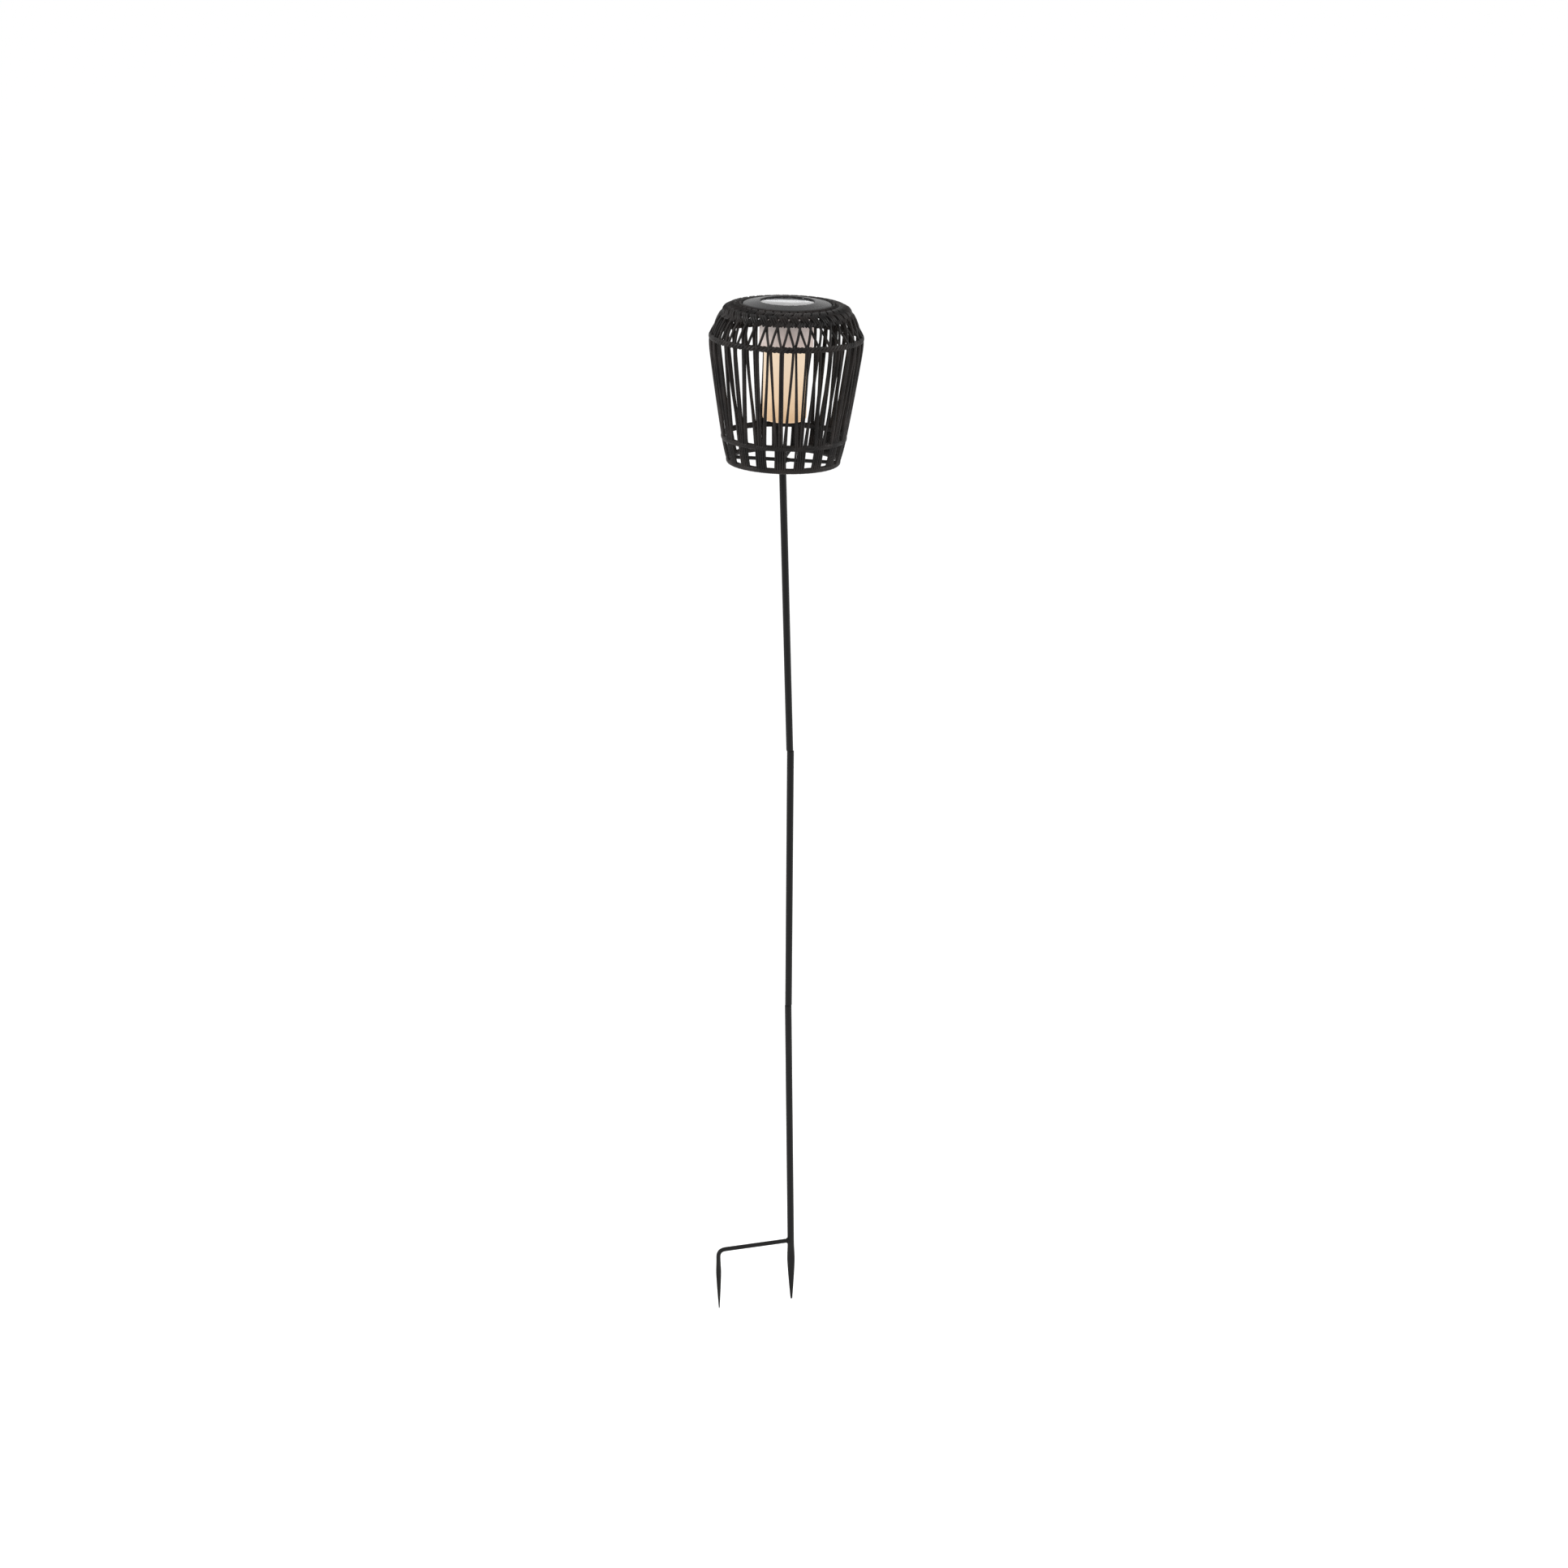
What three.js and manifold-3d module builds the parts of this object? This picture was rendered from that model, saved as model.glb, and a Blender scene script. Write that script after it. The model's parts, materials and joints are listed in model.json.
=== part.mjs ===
// Solar garden torch: a woven cane lantern on a pole of plug-together tubes, with a forked step-in stake.
// Millimetres, +Z up. The origin is on the pole's axis, where the stake's step arm meets the ground.
import * as THREE from "three";
import { mergeVertices } from "three/addons/utils/BufferGeometryUtils.js";
import Module from "manifold-3d";

const wasm = await Module();
wasm.setup();

// ---------------------------------------------------------------- driving dimensions

const GAP = 0.3; // left between pieces that touch

// Pole. Each section's reduced lower end plugs into the open tube below it, and rocks a little in it.
const TUBE_R = 4.1;
const BORE_R = 3.3;
const SPIGOT_R = 2.6;
const SPIGOT_BORE_R = 1.8;
const SPIGOT_LENGTH = 26;
const STAKE_TOP = 307;
const MIDDLE_LENGTH = 315;
const UPPER_LENGTH = 340;

// How far each section leans from upright, towards +X.
const STAKE_LEAN = -0.6;
const MIDDLE_LEAN = 0.4;
const UPPER_LEAN = -1.42;
const LANTERN_LEAN = 1.45;

// Stake and its step arm.
const STAKE_DEPTH = 74.5;
const ARM_R = 2.65;
const ARM_REACH = 91.4; // pole axis to the short leg's axis
const ARM_BEND_R = 9;
const ARM_ANGLE = 197; // in plan, from +X: to the left and 17 degrees forward
const LEG_DEPTH = 73.5;

// Lantern: heights are measured down from the top of the solar module.
const LANTERN_HEIGHT = 184;
const STEM_LENGTH = 20;
const RIBS = 19;
const RIB_R = 2.2;
const RIB_INSET = 2.3;
const FIRST_RIB = -93.3; // in plan, from +X
const CANE_R = 1.35;
const FAN_INSET = 6.2;
const LATTICE_INSET = 1.7;
const HOOP_SEGMENTS = 40;
const RIM_HOOP = { radius: 48.6, wire: 1.6, z: -7.4 }; // the solar module rests on it
const COLLAR_HOOP = { radius: 69.4, wire: 1.5, z: -15 };
const HUB_R = 4.5;
const SPOKE_R = 2.1;
const SPOKES = 4;
const FIRST_SPOKE = -8; // in plan, from +X

// The woven skin's outline, as radius and height, from the collar's inner edge to the foot.
const OUTLINE = new THREE.SplineCurve([
  new THREE.Vector2(52, -2.5),
  new THREE.Vector2(67.5, -5),
  new THREE.Vector2(75.2, -14),
  new THREE.Vector2(84.4, -32),
  new THREE.Vector2(87.4, -46),
  new THREE.Vector2(83.2, -80),
  new THREE.Vector2(71.2, -154),
  new THREE.Vector2(64.6, -182),
]);
const COLLAR_THICKNESS = 3;
const COLLAR_BOTTOM = -14;
const LATTICE_TOP = -16.8;
const LATTICE_BOTTOM = -36.5;
const SHOULDER_Z = -40.4;
const LOWER_HOOP_Z = -153.6;
const FAN_TOP = -41.4;
const FAN_BOTTOM = -152.6;
const FOOT_Z = -180.5;
const BAND_HALF_HEIGHT = 3.5;
const BAND_HALF_THICKNESS = 2;

// Solar module and candle.
const BEZEL_R = 50.2;
const BEZEL_BOTTOM = -5.4;
const CROWN_INNER_R = 32.4; // the bezel's flat top ends here and slopes down to its rim
const CROWN_OUTER_R = 48.4;
const CROWN_FALL = 2.6;
const LENS_R = 30.2;
const LENS_THICKNESS = 1.8;
const LENS_RECESS = 1.2;
const LEDGE_Z = -4.3;
const LEDGE_R = 27.6;
const CELL_SIZE = 38.4;
const CELL_THICKNESS = 0.5;
const CELL_Z = -3.85;
const HOUSING_R = 30.5;
const HOUSING_WALL = 1.6;
const HOUSING_BOTTOM = -53;
const LAMP_HOLE_R = 4.2;
const FLANGE_R = 45;
const SCREW_CIRCLE_R = 40.5;
const SCREW_HOLE_R = 1.4;
const SWITCH_Y = 26.5;
const SWITCH_TRAVEL = 2.5;
const CANDLE_R = 24.8;
const CANDLE_WALL = 1.4;
const CANDLE_BOTTOM = -134.7;
const CANDLE_ROUND_R = 5;
const BATTERY_R = 5.2;
const BATTERY_LENGTH = 44;
const BATTERY_Z = -15;
const BOARD_Z = -42.5;
const BOARD_THICKNESS = 1.4;

// ---------------------------------------------------------------- materials

const finish = (color, roughness, metalness) =>
  new THREE.MeshStandardMaterial({ color, roughness, metalness });
const poleCoat = finish(0x1d1c1c, 0.42, 0.3);
const frameWire = finish(0x222020, 0.55, 0.2);
const cane = finish(0x2b2827, 0.6, 0);
const blackPlastic = finish(0x2e2e30, 0.35, 0);
const frostedPlastic = finish(0xffd9a0, 0.5, 0);
const housingPlastic = finish(0xcfcac6, 0.5, 0);
const clearPlastic = finish(0xe8eef2, 0.08, 0);
const silicon = finish(0x141a2c, 0.25, 0.1);
const sealRubber = finish(0x17171a, 0.9, 0);
const batteryLabel = finish(0x2f6f4d, 0.45, 0);
const nickel = finish(0xbfc1c4, 0.3, 1);
const boardLaminate = finish(0x1f5a34, 0.6, 0);
const ledResin = finish(0xfff1cf, 0.2, 0);

// ---------------------------------------------------------------- helpers

const radians = THREE.MathUtils.degToRad;

function piece(name, geometry, material) {
  const mesh = new THREE.Mesh(geometry, material);
  mesh.name = name;
  return mesh;
}

// A solid of revolution about +Z from a profile of [radius, z] pairs.
function turned(profile, segments) {
  const points = profile.map(([r, z]) => new THREE.Vector2(r, z));
  return new THREE.LatheGeometry(points, segments).rotateX(Math.PI / 2);
}

// The same, for a profile that goes once round a ring's section and closes on itself.
const turnedRing = (profile, segments) => turned([...profile, profile[0]], segments);

const roundBar = (radius, bottom, top, sides) =>
  turned([[0, bottom], [radius, bottom], [radius, top], [0, top]], sides);

const box = (width, depth, height, x, y, z) => new THREE.BoxGeometry(width, depth, height).translate(x, y, z);

// A rod with a regular section of some sides, swept along a curve.
function rod(path, radius, sides, steps) {
  const corners = Array.from({ length: sides }, (_, i) => {
    const turn = (2 * Math.PI * i) / sides;
    return new THREE.Vector2(radius * Math.cos(turn), radius * Math.sin(turn));
  });
  const section = new THREE.Shape(corners);
  return new THREE.ExtrudeGeometry(section, { steps, extrudePath: path, bevelEnabled: false });
}

// The same surface with position alone, and one vertex wherever faces meet.
function withSharedVertices(geometry) {
  const bare = geometry.clone();
  bare.deleteAttribute("normal");
  bare.deleteAttribute("uv");
  return mergeVertices(bare, 1e-4);
}

function toSolid(geometry) {
  const merged = withSharedVertices(geometry);
  return new wasm.Manifold(
    new wasm.Mesh({
      numProp: 3,
      vertProperties: new Float32Array(merged.attributes.position.array),
      triVerts: new Uint32Array(merged.index.array),
    }),
  );
}

function toGeometry(solid) {
  const mesh = solid.getMesh();
  const geometry = new THREE.BufferGeometry();
  geometry.setAttribute("position", new THREE.BufferAttribute(new Float32Array(mesh.vertProperties), 3));
  geometry.setIndex(new THREE.BufferAttribute(new Uint32Array(mesh.triVerts), 1));
  return geometry;
}

const join = (geometries) => toGeometry(geometries.map(toSolid).reduce((a, b) => a.add(b)));

const cut = (geometry, tools) =>
  toGeometry(tools.map(toSolid).reduce((left, tool) => left.subtract(tool), toSolid(geometry)));

// Squeezes a round point into a blade: widthAt and thicknessAt give its half sizes at each depth.
function flattenBelowGround(geometry, radius, widthAt, thicknessAt) {
  const position = geometry.getAttribute("position");
  for (let i = 0; i < position.count; i++) {
    const depth = -position.getZ(i);
    if (depth > 0) {
      position.setX(i, (position.getX(i) * widthAt(depth)) / radius);
      position.setY(i, (position.getY(i) * thicknessAt(depth)) / radius);
    }
  }
  return geometry;
}

// ---------------------------------------------------------------- the woven skin's surface

const OUTLINE_POINTS = OUTLINE.getPoints(140);

function skinRadius(z) {
  const lower = Math.max(1, OUTLINE_POINTS.findIndex((p) => p.y <= z));
  const [a, b] = [OUTLINE_POINTS[lower - 1], OUTLINE_POINTS[lower]];
  return THREE.MathUtils.mapLinear(z, a.y, b.y, a.x, b.x);
}

// A cane's path on the skin: its angle in plan and its height change evenly, at one depth below the surface.
class SkinPath extends THREE.Curve {
  constructor(fromAngle, fromZ, toAngle, toZ, inset) {
    super();
    Object.assign(this, { fromAngle, fromZ, toAngle, toZ, inset });
  }
  getPoint(t) {
    const angle = radians(THREE.MathUtils.lerp(this.fromAngle, this.toAngle, t));
    const z = THREE.MathUtils.lerp(this.fromZ, this.toZ, t);
    const radius = skinRadius(z) - this.inset;
    return new THREE.Vector3(radius * Math.cos(angle), radius * Math.sin(angle), z);
  }
}

const ribAngle = (i) => FIRST_RIB + (360 * i) / RIBS;

// A flat-sided woven band whose outer face lies on the skin at its middle height.
const band = (z) =>
  new THREE.TorusGeometry(skinRadius(z) - BAND_HALF_THICKNESS, BAND_HALF_THICKNESS, 6, HOOP_SEGMENTS)
    .scale(1, 1, BAND_HALF_HEIGHT / BAND_HALF_THICKNESS)
    .translate(0, 0, z);

const wireHoop = ({ radius, wire, z }) =>
  new THREE.TorusGeometry(radius, wire, 5, HOOP_SEGMENTS).translate(0, 0, z);

// ---------------------------------------------------------------- pole and stake

// Half width and half thickness of a blade that swells to its widest at a third of its depth, then tapers.
const bladeHalfWidth = (start, widest, tip, depth) => (below) => {
  const at = below / depth;
  return at < 0.3
    ? THREE.MathUtils.lerp(start, widest, THREE.MathUtils.smoothstep(at, 0, 0.3))
    : THREE.MathUtils.lerp(widest, tip, ((at - 0.3) / 0.7) ** 1.25);
};
const bladeHalfThickness = (start, flat, tip, depth) => (below) =>
  below < 0.3 * depth
    ? THREE.MathUtils.lerp(start, flat, below / (0.3 * depth))
    : THREE.MathUtils.lerp(flat, tip, (below - 0.3 * depth) / (0.7 * depth));

function stakeTube() {
  const shares = [1, 0.9, 0.75, 0.6, 0.45, 0.3, 0.15, 0];
  const outside = shares.map((share) => [TUBE_R, -share * STAKE_DEPTH]);
  const profile = [
    [0, -STAKE_DEPTH],
    ...outside,
    [TUBE_R, STAKE_TOP],
    [BORE_R, STAKE_TOP],
    [BORE_R, 12],
    [0, 8],
  ];
  return flattenBelowGround(
    turned(profile, 20),
    TUBE_R,
    bladeHalfWidth(TUBE_R, 4.7, 1.2, STAKE_DEPTH),
    bladeHalfThickness(TUBE_R, 1.5, 0.7, STAKE_DEPTH),
  );
}

// The arm leaves the tube level with its underside on the ground, turns down in one bend and ends in a point.
function stepArm() {
  const path = new THREE.CurvePath();
  const bendStart = new THREE.Vector3(-ARM_BEND_R, 0, ARM_R);
  const bendEnd = new THREE.Vector3(0, 0, ARM_R - ARM_BEND_R);
  path.add(new THREE.LineCurve3(new THREE.Vector3(-ARM_REACH, 0, ARM_R), bendStart));
  path.add(new THREE.QuadraticBezierCurve3(bendStart, new THREE.Vector3(0, 0, ARM_R), bendEnd));
  path.add(new THREE.LineCurve3(bendEnd, new THREE.Vector3(0, 0, -LEG_DEPTH)));
  const bent = flattenLeg(rod(path, ARM_R, 8, 30));
  const placed = bent.translate(ARM_REACH, 0, 0).rotateZ(radians(ARM_ANGLE));
  return cut(placed, [roundBar(TUBE_R + GAP, -10, 20, 20)]);
}

// The leg is squeezed once it is clear of the bend.
function flattenLeg(geometry) {
  const start = ARM_BEND_R;
  geometry.translate(0, 0, start);
  const depth = LEG_DEPTH - start;
  flattenBelowGround(
    geometry,
    ARM_R,
    bladeHalfWidth(ARM_R, 3.3, 0.7, depth),
    bladeHalfThickness(ARM_R, 1.2, 0.5, depth),
  );
  return geometry.translate(0, 0, -start);
}

// A pole section: an open tube whose lower end is reduced to a spigot. At z = 0 it meets the tube below.
const poleSection = (length) =>
  turnedRing(
    [
      [SPIGOT_BORE_R, -SPIGOT_LENGTH],
      [SPIGOT_R, -SPIGOT_LENGTH],
      [SPIGOT_R, 0],
      [TUBE_R - 0.3, 0],
      [TUBE_R, 0.6],
      [TUBE_R, length],
      [BORE_R, length],
      [BORE_R, 3],
      [SPIGOT_BORE_R, 1],
    ],
    20,
  );

// A section plugged into the open top of the one below. It leans about the middle of its spigot.
function plugInto(below, top, spigotLength, lean) {
  const pivot = new THREE.Group();
  pivot.position.z = top - spigotLength / 2;
  pivot.rotation.y = radians(lean);
  const section = new THREE.Group();
  section.position.z = spigotLength / 2 + GAP;
  pivot.add(section);
  below.add(pivot);
  return section;
}

// ---------------------------------------------------------------- lantern

// The tightly woven collar: a thin shell that follows the outline from the rim to the lattice.
function collarWeave() {
  const outer = OUTLINE_POINTS.filter((p, i) => i % 8 === 0 && p.y >= COLLAR_BOTTOM - 0.5);
  const inner = outer.map((p, i) => {
    const [before, after] = [outer[Math.max(i - 1, 0)], outer[Math.min(i + 1, outer.length - 1)]];
    const along = after.clone().sub(before).normalize();
    return new THREE.Vector2(p.x + along.y * COLLAR_THICKNESS, p.y - along.x * COLLAR_THICKNESS);
  });
  const loop = [...outer.reverse(), ...inner].map((p) => [p.x, p.y]);
  return turnedRing(loop, HOOP_SEGMENTS);
}

// One unbroken cane laid in a zigzag round the skin, between two heights, with a foot at firstFoot.
// Its section is stretched upwards by the slope of its legs, so that a leg is as wide as the cane.
function zigzagCane(turns, firstFoot, bottom, top, inset, stepsPerLeg) {
  const ringRadius = skinRadius((bottom + top) / 2);
  const legRun = (Math.PI * ringRadius) / turns;
  const rise = (top - bottom) / (1 + (2 * CANE_R) / legRun);
  const stretch = rise / legRun;
  const lowest = bottom + CANE_R * stretch;
  const torus = new THREE.TorusGeometry(ringRadius, CANE_R, 4, 2 * turns * stepsPerLeg);
  const ring = withSharedVertices(torus);
  const position = ring.getAttribute("position");
  for (let i = 0; i < position.count; i++) {
    const [x, y] = [position.getX(i), position.getY(i)];
    const angle = Math.atan2(y, x);
    const phase = THREE.MathUtils.euclideanModulo((angle * turns) / (2 * Math.PI), 1);
    const z = lowest + rise * (1 - Math.abs(2 * phase - 1)) + position.getZ(i) * stretch;
    const radius = skinRadius(z) - inset + Math.hypot(x, y) - ringRadius;
    position.setXYZ(i, radius * Math.cos(angle), radius * Math.sin(angle), z);
  }
  return ring.rotateZ(radians(firstFoot));
}

const rib = (i) => {
  const top = SHOULDER_Z - BAND_HALF_HEIGHT - 2 * GAP;
  const bottom = LOWER_HOOP_Z + BAND_HALF_HEIGHT + 2 * GAP;
  return rod(new SkinPath(ribAngle(i), top, ribAngle(i), bottom, RIB_INSET), RIB_R, 6, 3);
};

// The foot hoop with the short posts that carry it below the lower hoop.
function footHoop() {
  const top = LOWER_HOOP_Z - BAND_HALF_HEIGHT - 2 * GAP;
  const posts = Array.from({ length: RIBS }, (_, i) =>
    rod(new SkinPath(ribAngle(i), top, ribAngle(i), FOOT_Z, RIB_INSET), RIB_R, 4, 1),
  );
  return join([band(FOOT_Z), ...posts]);
}

// The hub that the spokes meet at, drawn down to a pin that plugs into the pole.
const poleStem = () =>
  turned(
    [
      [0, -LANTERN_HEIGHT - STEM_LENGTH],
      [SPIGOT_R - 0.5, -LANTERN_HEIGHT - STEM_LENGTH],
      [SPIGOT_R, 1 - LANTERN_HEIGHT - STEM_LENGTH],
      [SPIGOT_R, -LANTERN_HEIGHT],
      [HUB_R, -LANTERN_HEIGHT],
      [HUB_R, FOOT_Z + 4],
      [0, FOOT_Z + 4],
    ],
    20,
  );

// A straight spoke from the hub to the foot hoop.
function baseSpoke(i) {
  const inner = HUB_R + GAP;
  const outer = skinRadius(FOOT_Z) - 2 * BAND_HALF_THICKNESS - GAP;
  return roundBar(SPOKE_R, inner, outer, 8)
    .rotateY(Math.PI / 2)
    .rotateZ(radians(FIRST_SPOKE + (360 * i) / SPOKES))
    .translate(0, 0, FOOT_Z);
}

// ---------------------------------------------------------------- solar module and candle

const screwPlaces = [30, 150, 270].map((angle) => [
  SCREW_CIRCLE_R * Math.cos(radians(angle)),
  SCREW_CIRCLE_R * Math.sin(radians(angle)),
]);

function bezelRing() {
  const ring = turnedRing(
    [
      [LEDGE_R, BEZEL_BOTTOM],
      [BEZEL_R, BEZEL_BOTTOM],
      [BEZEL_R, -CROWN_FALL - 1],
      [CROWN_OUTER_R, -CROWN_FALL],
      [CROWN_INNER_R, 0],
      [LENS_R + GAP, 0],
      [LENS_R + GAP, LEDGE_Z],
      [LEDGE_R, LEDGE_Z],
    ],
    32,
  );
  const hole = () => roundBar(SCREW_HOLE_R, BEZEL_BOTTOM - 1, BEZEL_BOTTOM + 2.6, 8);
  return cut(ring, screwPlaces.map(([x, y]) => hole().translate(x, y, 0)));
}

// The lens lies a little below the bezel's top.
const panelLens = () =>
  turned(
    [
      [0, -LENS_RECESS - LENS_THICKNESS],
      [LENS_R, -LENS_RECESS - LENS_THICKNESS],
      [LENS_R, -LENS_RECESS - 0.4],
      [LENS_R - 0.4, -LENS_RECESS],
      [0, -LENS_RECESS],
    ],
    32,
  );

// A flat seal between the lens and the bezel's ledge.
function lensGasket() {
  const top = -LENS_RECESS - LENS_THICKNESS - GAP;
  const [inner, outer] = [LEDGE_R + 0.7, LENS_R - 0.1];
  return turnedRing([[inner, LEDGE_Z + GAP], [outer, LEDGE_Z + GAP], [outer, top], [inner, top]], 24);
}

const solarCell = () => box(CELL_SIZE, CELL_SIZE, CELL_THICKNESS, 0, 0, CELL_Z);

// The disc that the cell is stuck to.
const cellTray = () => roundBar(LEDGE_R - GAP, BEZEL_BOTTOM, CELL_Z - CELL_THICKNESS / 2 - GAP, 32);

// A cup with a flange under the bezel, a hole for the lamp, a slot for the switch and a lip for the candle.
function moduleHousing() {
  const inside = HOUSING_R - HOUSING_WALL;
  const floor = HOUSING_BOTTOM + HOUSING_WALL;
  const top = BEZEL_BOTTOM - GAP;
  const lipOuter = CANDLE_R - CANDLE_WALL - 0.5;
  const cup = turnedRing(
    [
      [LAMP_HOLE_R, HOUSING_BOTTOM],
      [lipOuter - 2.2, HOUSING_BOTTOM],
      [lipOuter - 2.2, HOUSING_BOTTOM - 4],
      [lipOuter, HOUSING_BOTTOM - 4],
      [lipOuter, HOUSING_BOTTOM],
      [HOUSING_R, HOUSING_BOTTOM],
      [HOUSING_R, top - HOUSING_WALL],
      [FLANGE_R, top - HOUSING_WALL],
      [FLANGE_R, top],
      [inside, top],
      [inside, floor],
      [LAMP_HOLE_R, floor],
    ],
    48,
  );
  const slotLength = SWITCH_TRAVEL + 4;
  const slot = box(slotLength, 2.4, 6, SWITCH_TRAVEL / 2, SWITCH_Y, HOUSING_BOTTOM);
  const hole = () => roundBar(SCREW_HOLE_R, top - 2 * HOUSING_WALL, top + 1, 8);
  return cut(cup, [slot, ...screwPlaces.map(([x, y]) => hole().translate(x, y, 0))]);
}

// A pan-head screw that runs up through the flange into the bezel.
function housingScrew(i) {
  const under = BEZEL_BOTTOM - GAP - HOUSING_WALL - GAP;
  const [headR, headHeight, shankR, tip] = [2.1, 1.5, 1.05, BEZEL_BOTTOM + 2.2];
  const [x, y] = screwPlaces[i];
  const profile = [
    [0, under - headHeight],
    [headR - 0.5, under - headHeight],
    [headR, under - headHeight / 2],
    [headR, under],
    [shankR, under],
    [shankR, tip],
    [0, tip],
  ];
  return turned(profile, 8).translate(x, y, 0);
}

// The frosted tube that glows: open at the top, with a rounded closed end.
function candleTube() {
  const corner = (radius, samples) =>
    Array.from({ length: samples + 1 }, (_, i) => {
      const turn = (i / samples) * (Math.PI / 2);
      const centre = CANDLE_BOTTOM + CANDLE_ROUND_R;
      return [CANDLE_R - CANDLE_ROUND_R + radius * Math.sin(turn), centre - radius * Math.cos(turn)];
    });
  const top = HOUSING_BOTTOM - GAP;
  return turned(
    [
      [0, CANDLE_BOTTOM],
      ...corner(CANDLE_ROUND_R, 3),
      [CANDLE_R, top],
      [CANDLE_R - CANDLE_WALL, top],
      ...corner(CANDLE_ROUND_R - CANDLE_WALL, 3).reverse(),
      [0, CANDLE_BOTTOM + CANDLE_WALL],
    ],
    24,
  );
}

// A round cell that lies along X, with its contact button at the +X end.
function battery() {
  const half = BATTERY_LENGTH / 2;
  const [shoulder, buttonR, button] = [half - 1.5, 1.9, half - 0.4];
  const profile = [
    [0, -half],
    [BATTERY_R - 0.5, -half],
    [BATTERY_R, 0.5 - half],
    [BATTERY_R, shoulder - 0.5],
    [BATTERY_R - 0.5, shoulder],
    [buttonR, shoulder],
    [buttonR, button],
    [0, button],
  ];
  return turned(profile, 16).rotateY(Math.PI / 2).translate(0, 0, BATTERY_Z);
}

// A conical coil pressed between the housing and the battery's flat end.
class ConeCoil extends THREE.Curve {
  getPoint(t) {
    const turn = 2 * Math.PI * 3 * t;
    const radius = THREE.MathUtils.lerp(1.6, 3.4, t);
    const along = THREE.MathUtils.lerp(BATTERY_LENGTH / 2 + 0.8, BATTERY_LENGTH / 2 + 4, t);
    return new THREE.Vector3(-along, radius * Math.cos(turn), BATTERY_Z + radius * Math.sin(turn));
  }
}

// The spring plate at the battery's button.
const batteryPlate = () => box(0.6, 8, 8, BATTERY_LENGTH / 2 + 0.6, 0, BATTERY_Z);

const circuitBoard = () => box(38, 24, BOARD_THICKNESS, 0, 0, BOARD_Z);

// The switch stands on the housing's floor, with its slider in the floor's slot.
const switchBody = () => box(9, 4, 4.4, 0, SWITCH_Y - 0.9, HOUSING_BOTTOM + HOUSING_WALL + 2.6);
const switchSlider = () => box(2.6, 1.6, 3.4, 0, SWITCH_Y, HOUSING_BOTTOM);

// The lamp hangs under the circuit board and shines down through the housing's hole.
const lamp = () =>
  turned(
    [
      [0, HOUSING_BOTTOM],
      [1.5, HOUSING_BOTTOM + 0.5],
      [2.5, HOUSING_BOTTOM + 2],
      [2.5, BOARD_Z - 2],
      [2.9, BOARD_Z - 2],
      [2.9, BOARD_Z - 1],
      [0, BOARD_Z - 1],
    ],
    14,
  );

// ---------------------------------------------------------------- assembly

const torch = new THREE.Group();

const stake = new THREE.Group();
stake.rotation.y = radians(STAKE_LEAN);
torch.add(stake);
stake.add(piece("stake_tube", stakeTube(), poleCoat));
stake.add(piece("step_arm", stepArm(), poleCoat));

const middle = plugInto(stake, STAKE_TOP, SPIGOT_LENGTH, MIDDLE_LEAN - STAKE_LEAN);
middle.add(piece("middle_pole", poleSection(MIDDLE_LENGTH), poleCoat));

const upper = plugInto(middle, MIDDLE_LENGTH, SPIGOT_LENGTH, UPPER_LEAN - MIDDLE_LEAN);
upper.add(piece("upper_pole", poleSection(UPPER_LENGTH), poleCoat));

const shoulderCanes = zigzagCane(2 * RIBS, FIRST_RIB, LATTICE_BOTTOM, LATTICE_TOP, LATTICE_INSET, 1);
const fanCanes = zigzagCane(RIBS, FIRST_RIB, FAN_BOTTOM, FAN_TOP, FAN_INSET, 2);

const lantern = new THREE.Group();
lantern.position.z = LANTERN_HEIGHT;
plugInto(upper, UPPER_LENGTH, STEM_LENGTH, LANTERN_LEAN - UPPER_LEAN).add(lantern);

lantern.add(piece("pole_stem", poleStem(), poleCoat));
for (let i = 0; i < SPOKES; i++) {
  lantern.add(piece(`base_spoke_${i + 1}`, baseSpoke(i), frameWire));
}
lantern.add(piece("rim_hoop", wireHoop(RIM_HOOP), frameWire));
lantern.add(piece("collar_weave", collarWeave(), cane));
lantern.add(piece("collar_hoop", wireHoop(COLLAR_HOOP), frameWire));
lantern.add(piece("shoulder_canes", shoulderCanes, cane));
lantern.add(piece("shoulder_hoop", band(SHOULDER_Z), cane));
lantern.add(piece("fan_canes", fanCanes, cane));
for (let i = 0; i < RIBS; i++) {
  lantern.add(piece(`rib_${String(i + 1).padStart(2, "0")}`, rib(i), cane));
}
lantern.add(piece("lower_hoop", band(LOWER_HOOP_Z), cane));
lantern.add(piece("foot_hoop", footHoop(), cane));

lantern.add(piece("bezel_ring", bezelRing(), blackPlastic));
lantern.add(piece("panel_lens", panelLens(), clearPlastic));
lantern.add(piece("lens_gasket", lensGasket(), sealRubber));
lantern.add(piece("solar_cell", solarCell(), silicon));
lantern.add(piece("cell_tray", cellTray(), housingPlastic));
lantern.add(piece("module_housing", moduleHousing(), housingPlastic));
for (let i = 0; i < screwPlaces.length; i++) {
  lantern.add(piece(`housing_screw_${i + 1}`, housingScrew(i), nickel));
}
lantern.add(piece("battery", battery(), batteryLabel));
lantern.add(piece("battery_spring", rod(new ConeCoil(), 0.4, 4, 30), nickel));
lantern.add(piece("battery_plate", batteryPlate(), nickel));
lantern.add(piece("circuit_board", circuitBoard(), boardLaminate));
lantern.add(piece("led_lamp", lamp(), ledResin));
lantern.add(piece("switch_body", switchBody(), blackPlastic));
lantern.add(piece("switch_slider", switchSlider(), sealRubber));
lantern.add(piece("candle_tube", candleTube(), frostedPlastic));

export default torch;
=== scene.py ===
"""Solar garden torch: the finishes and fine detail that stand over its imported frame."""

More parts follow.
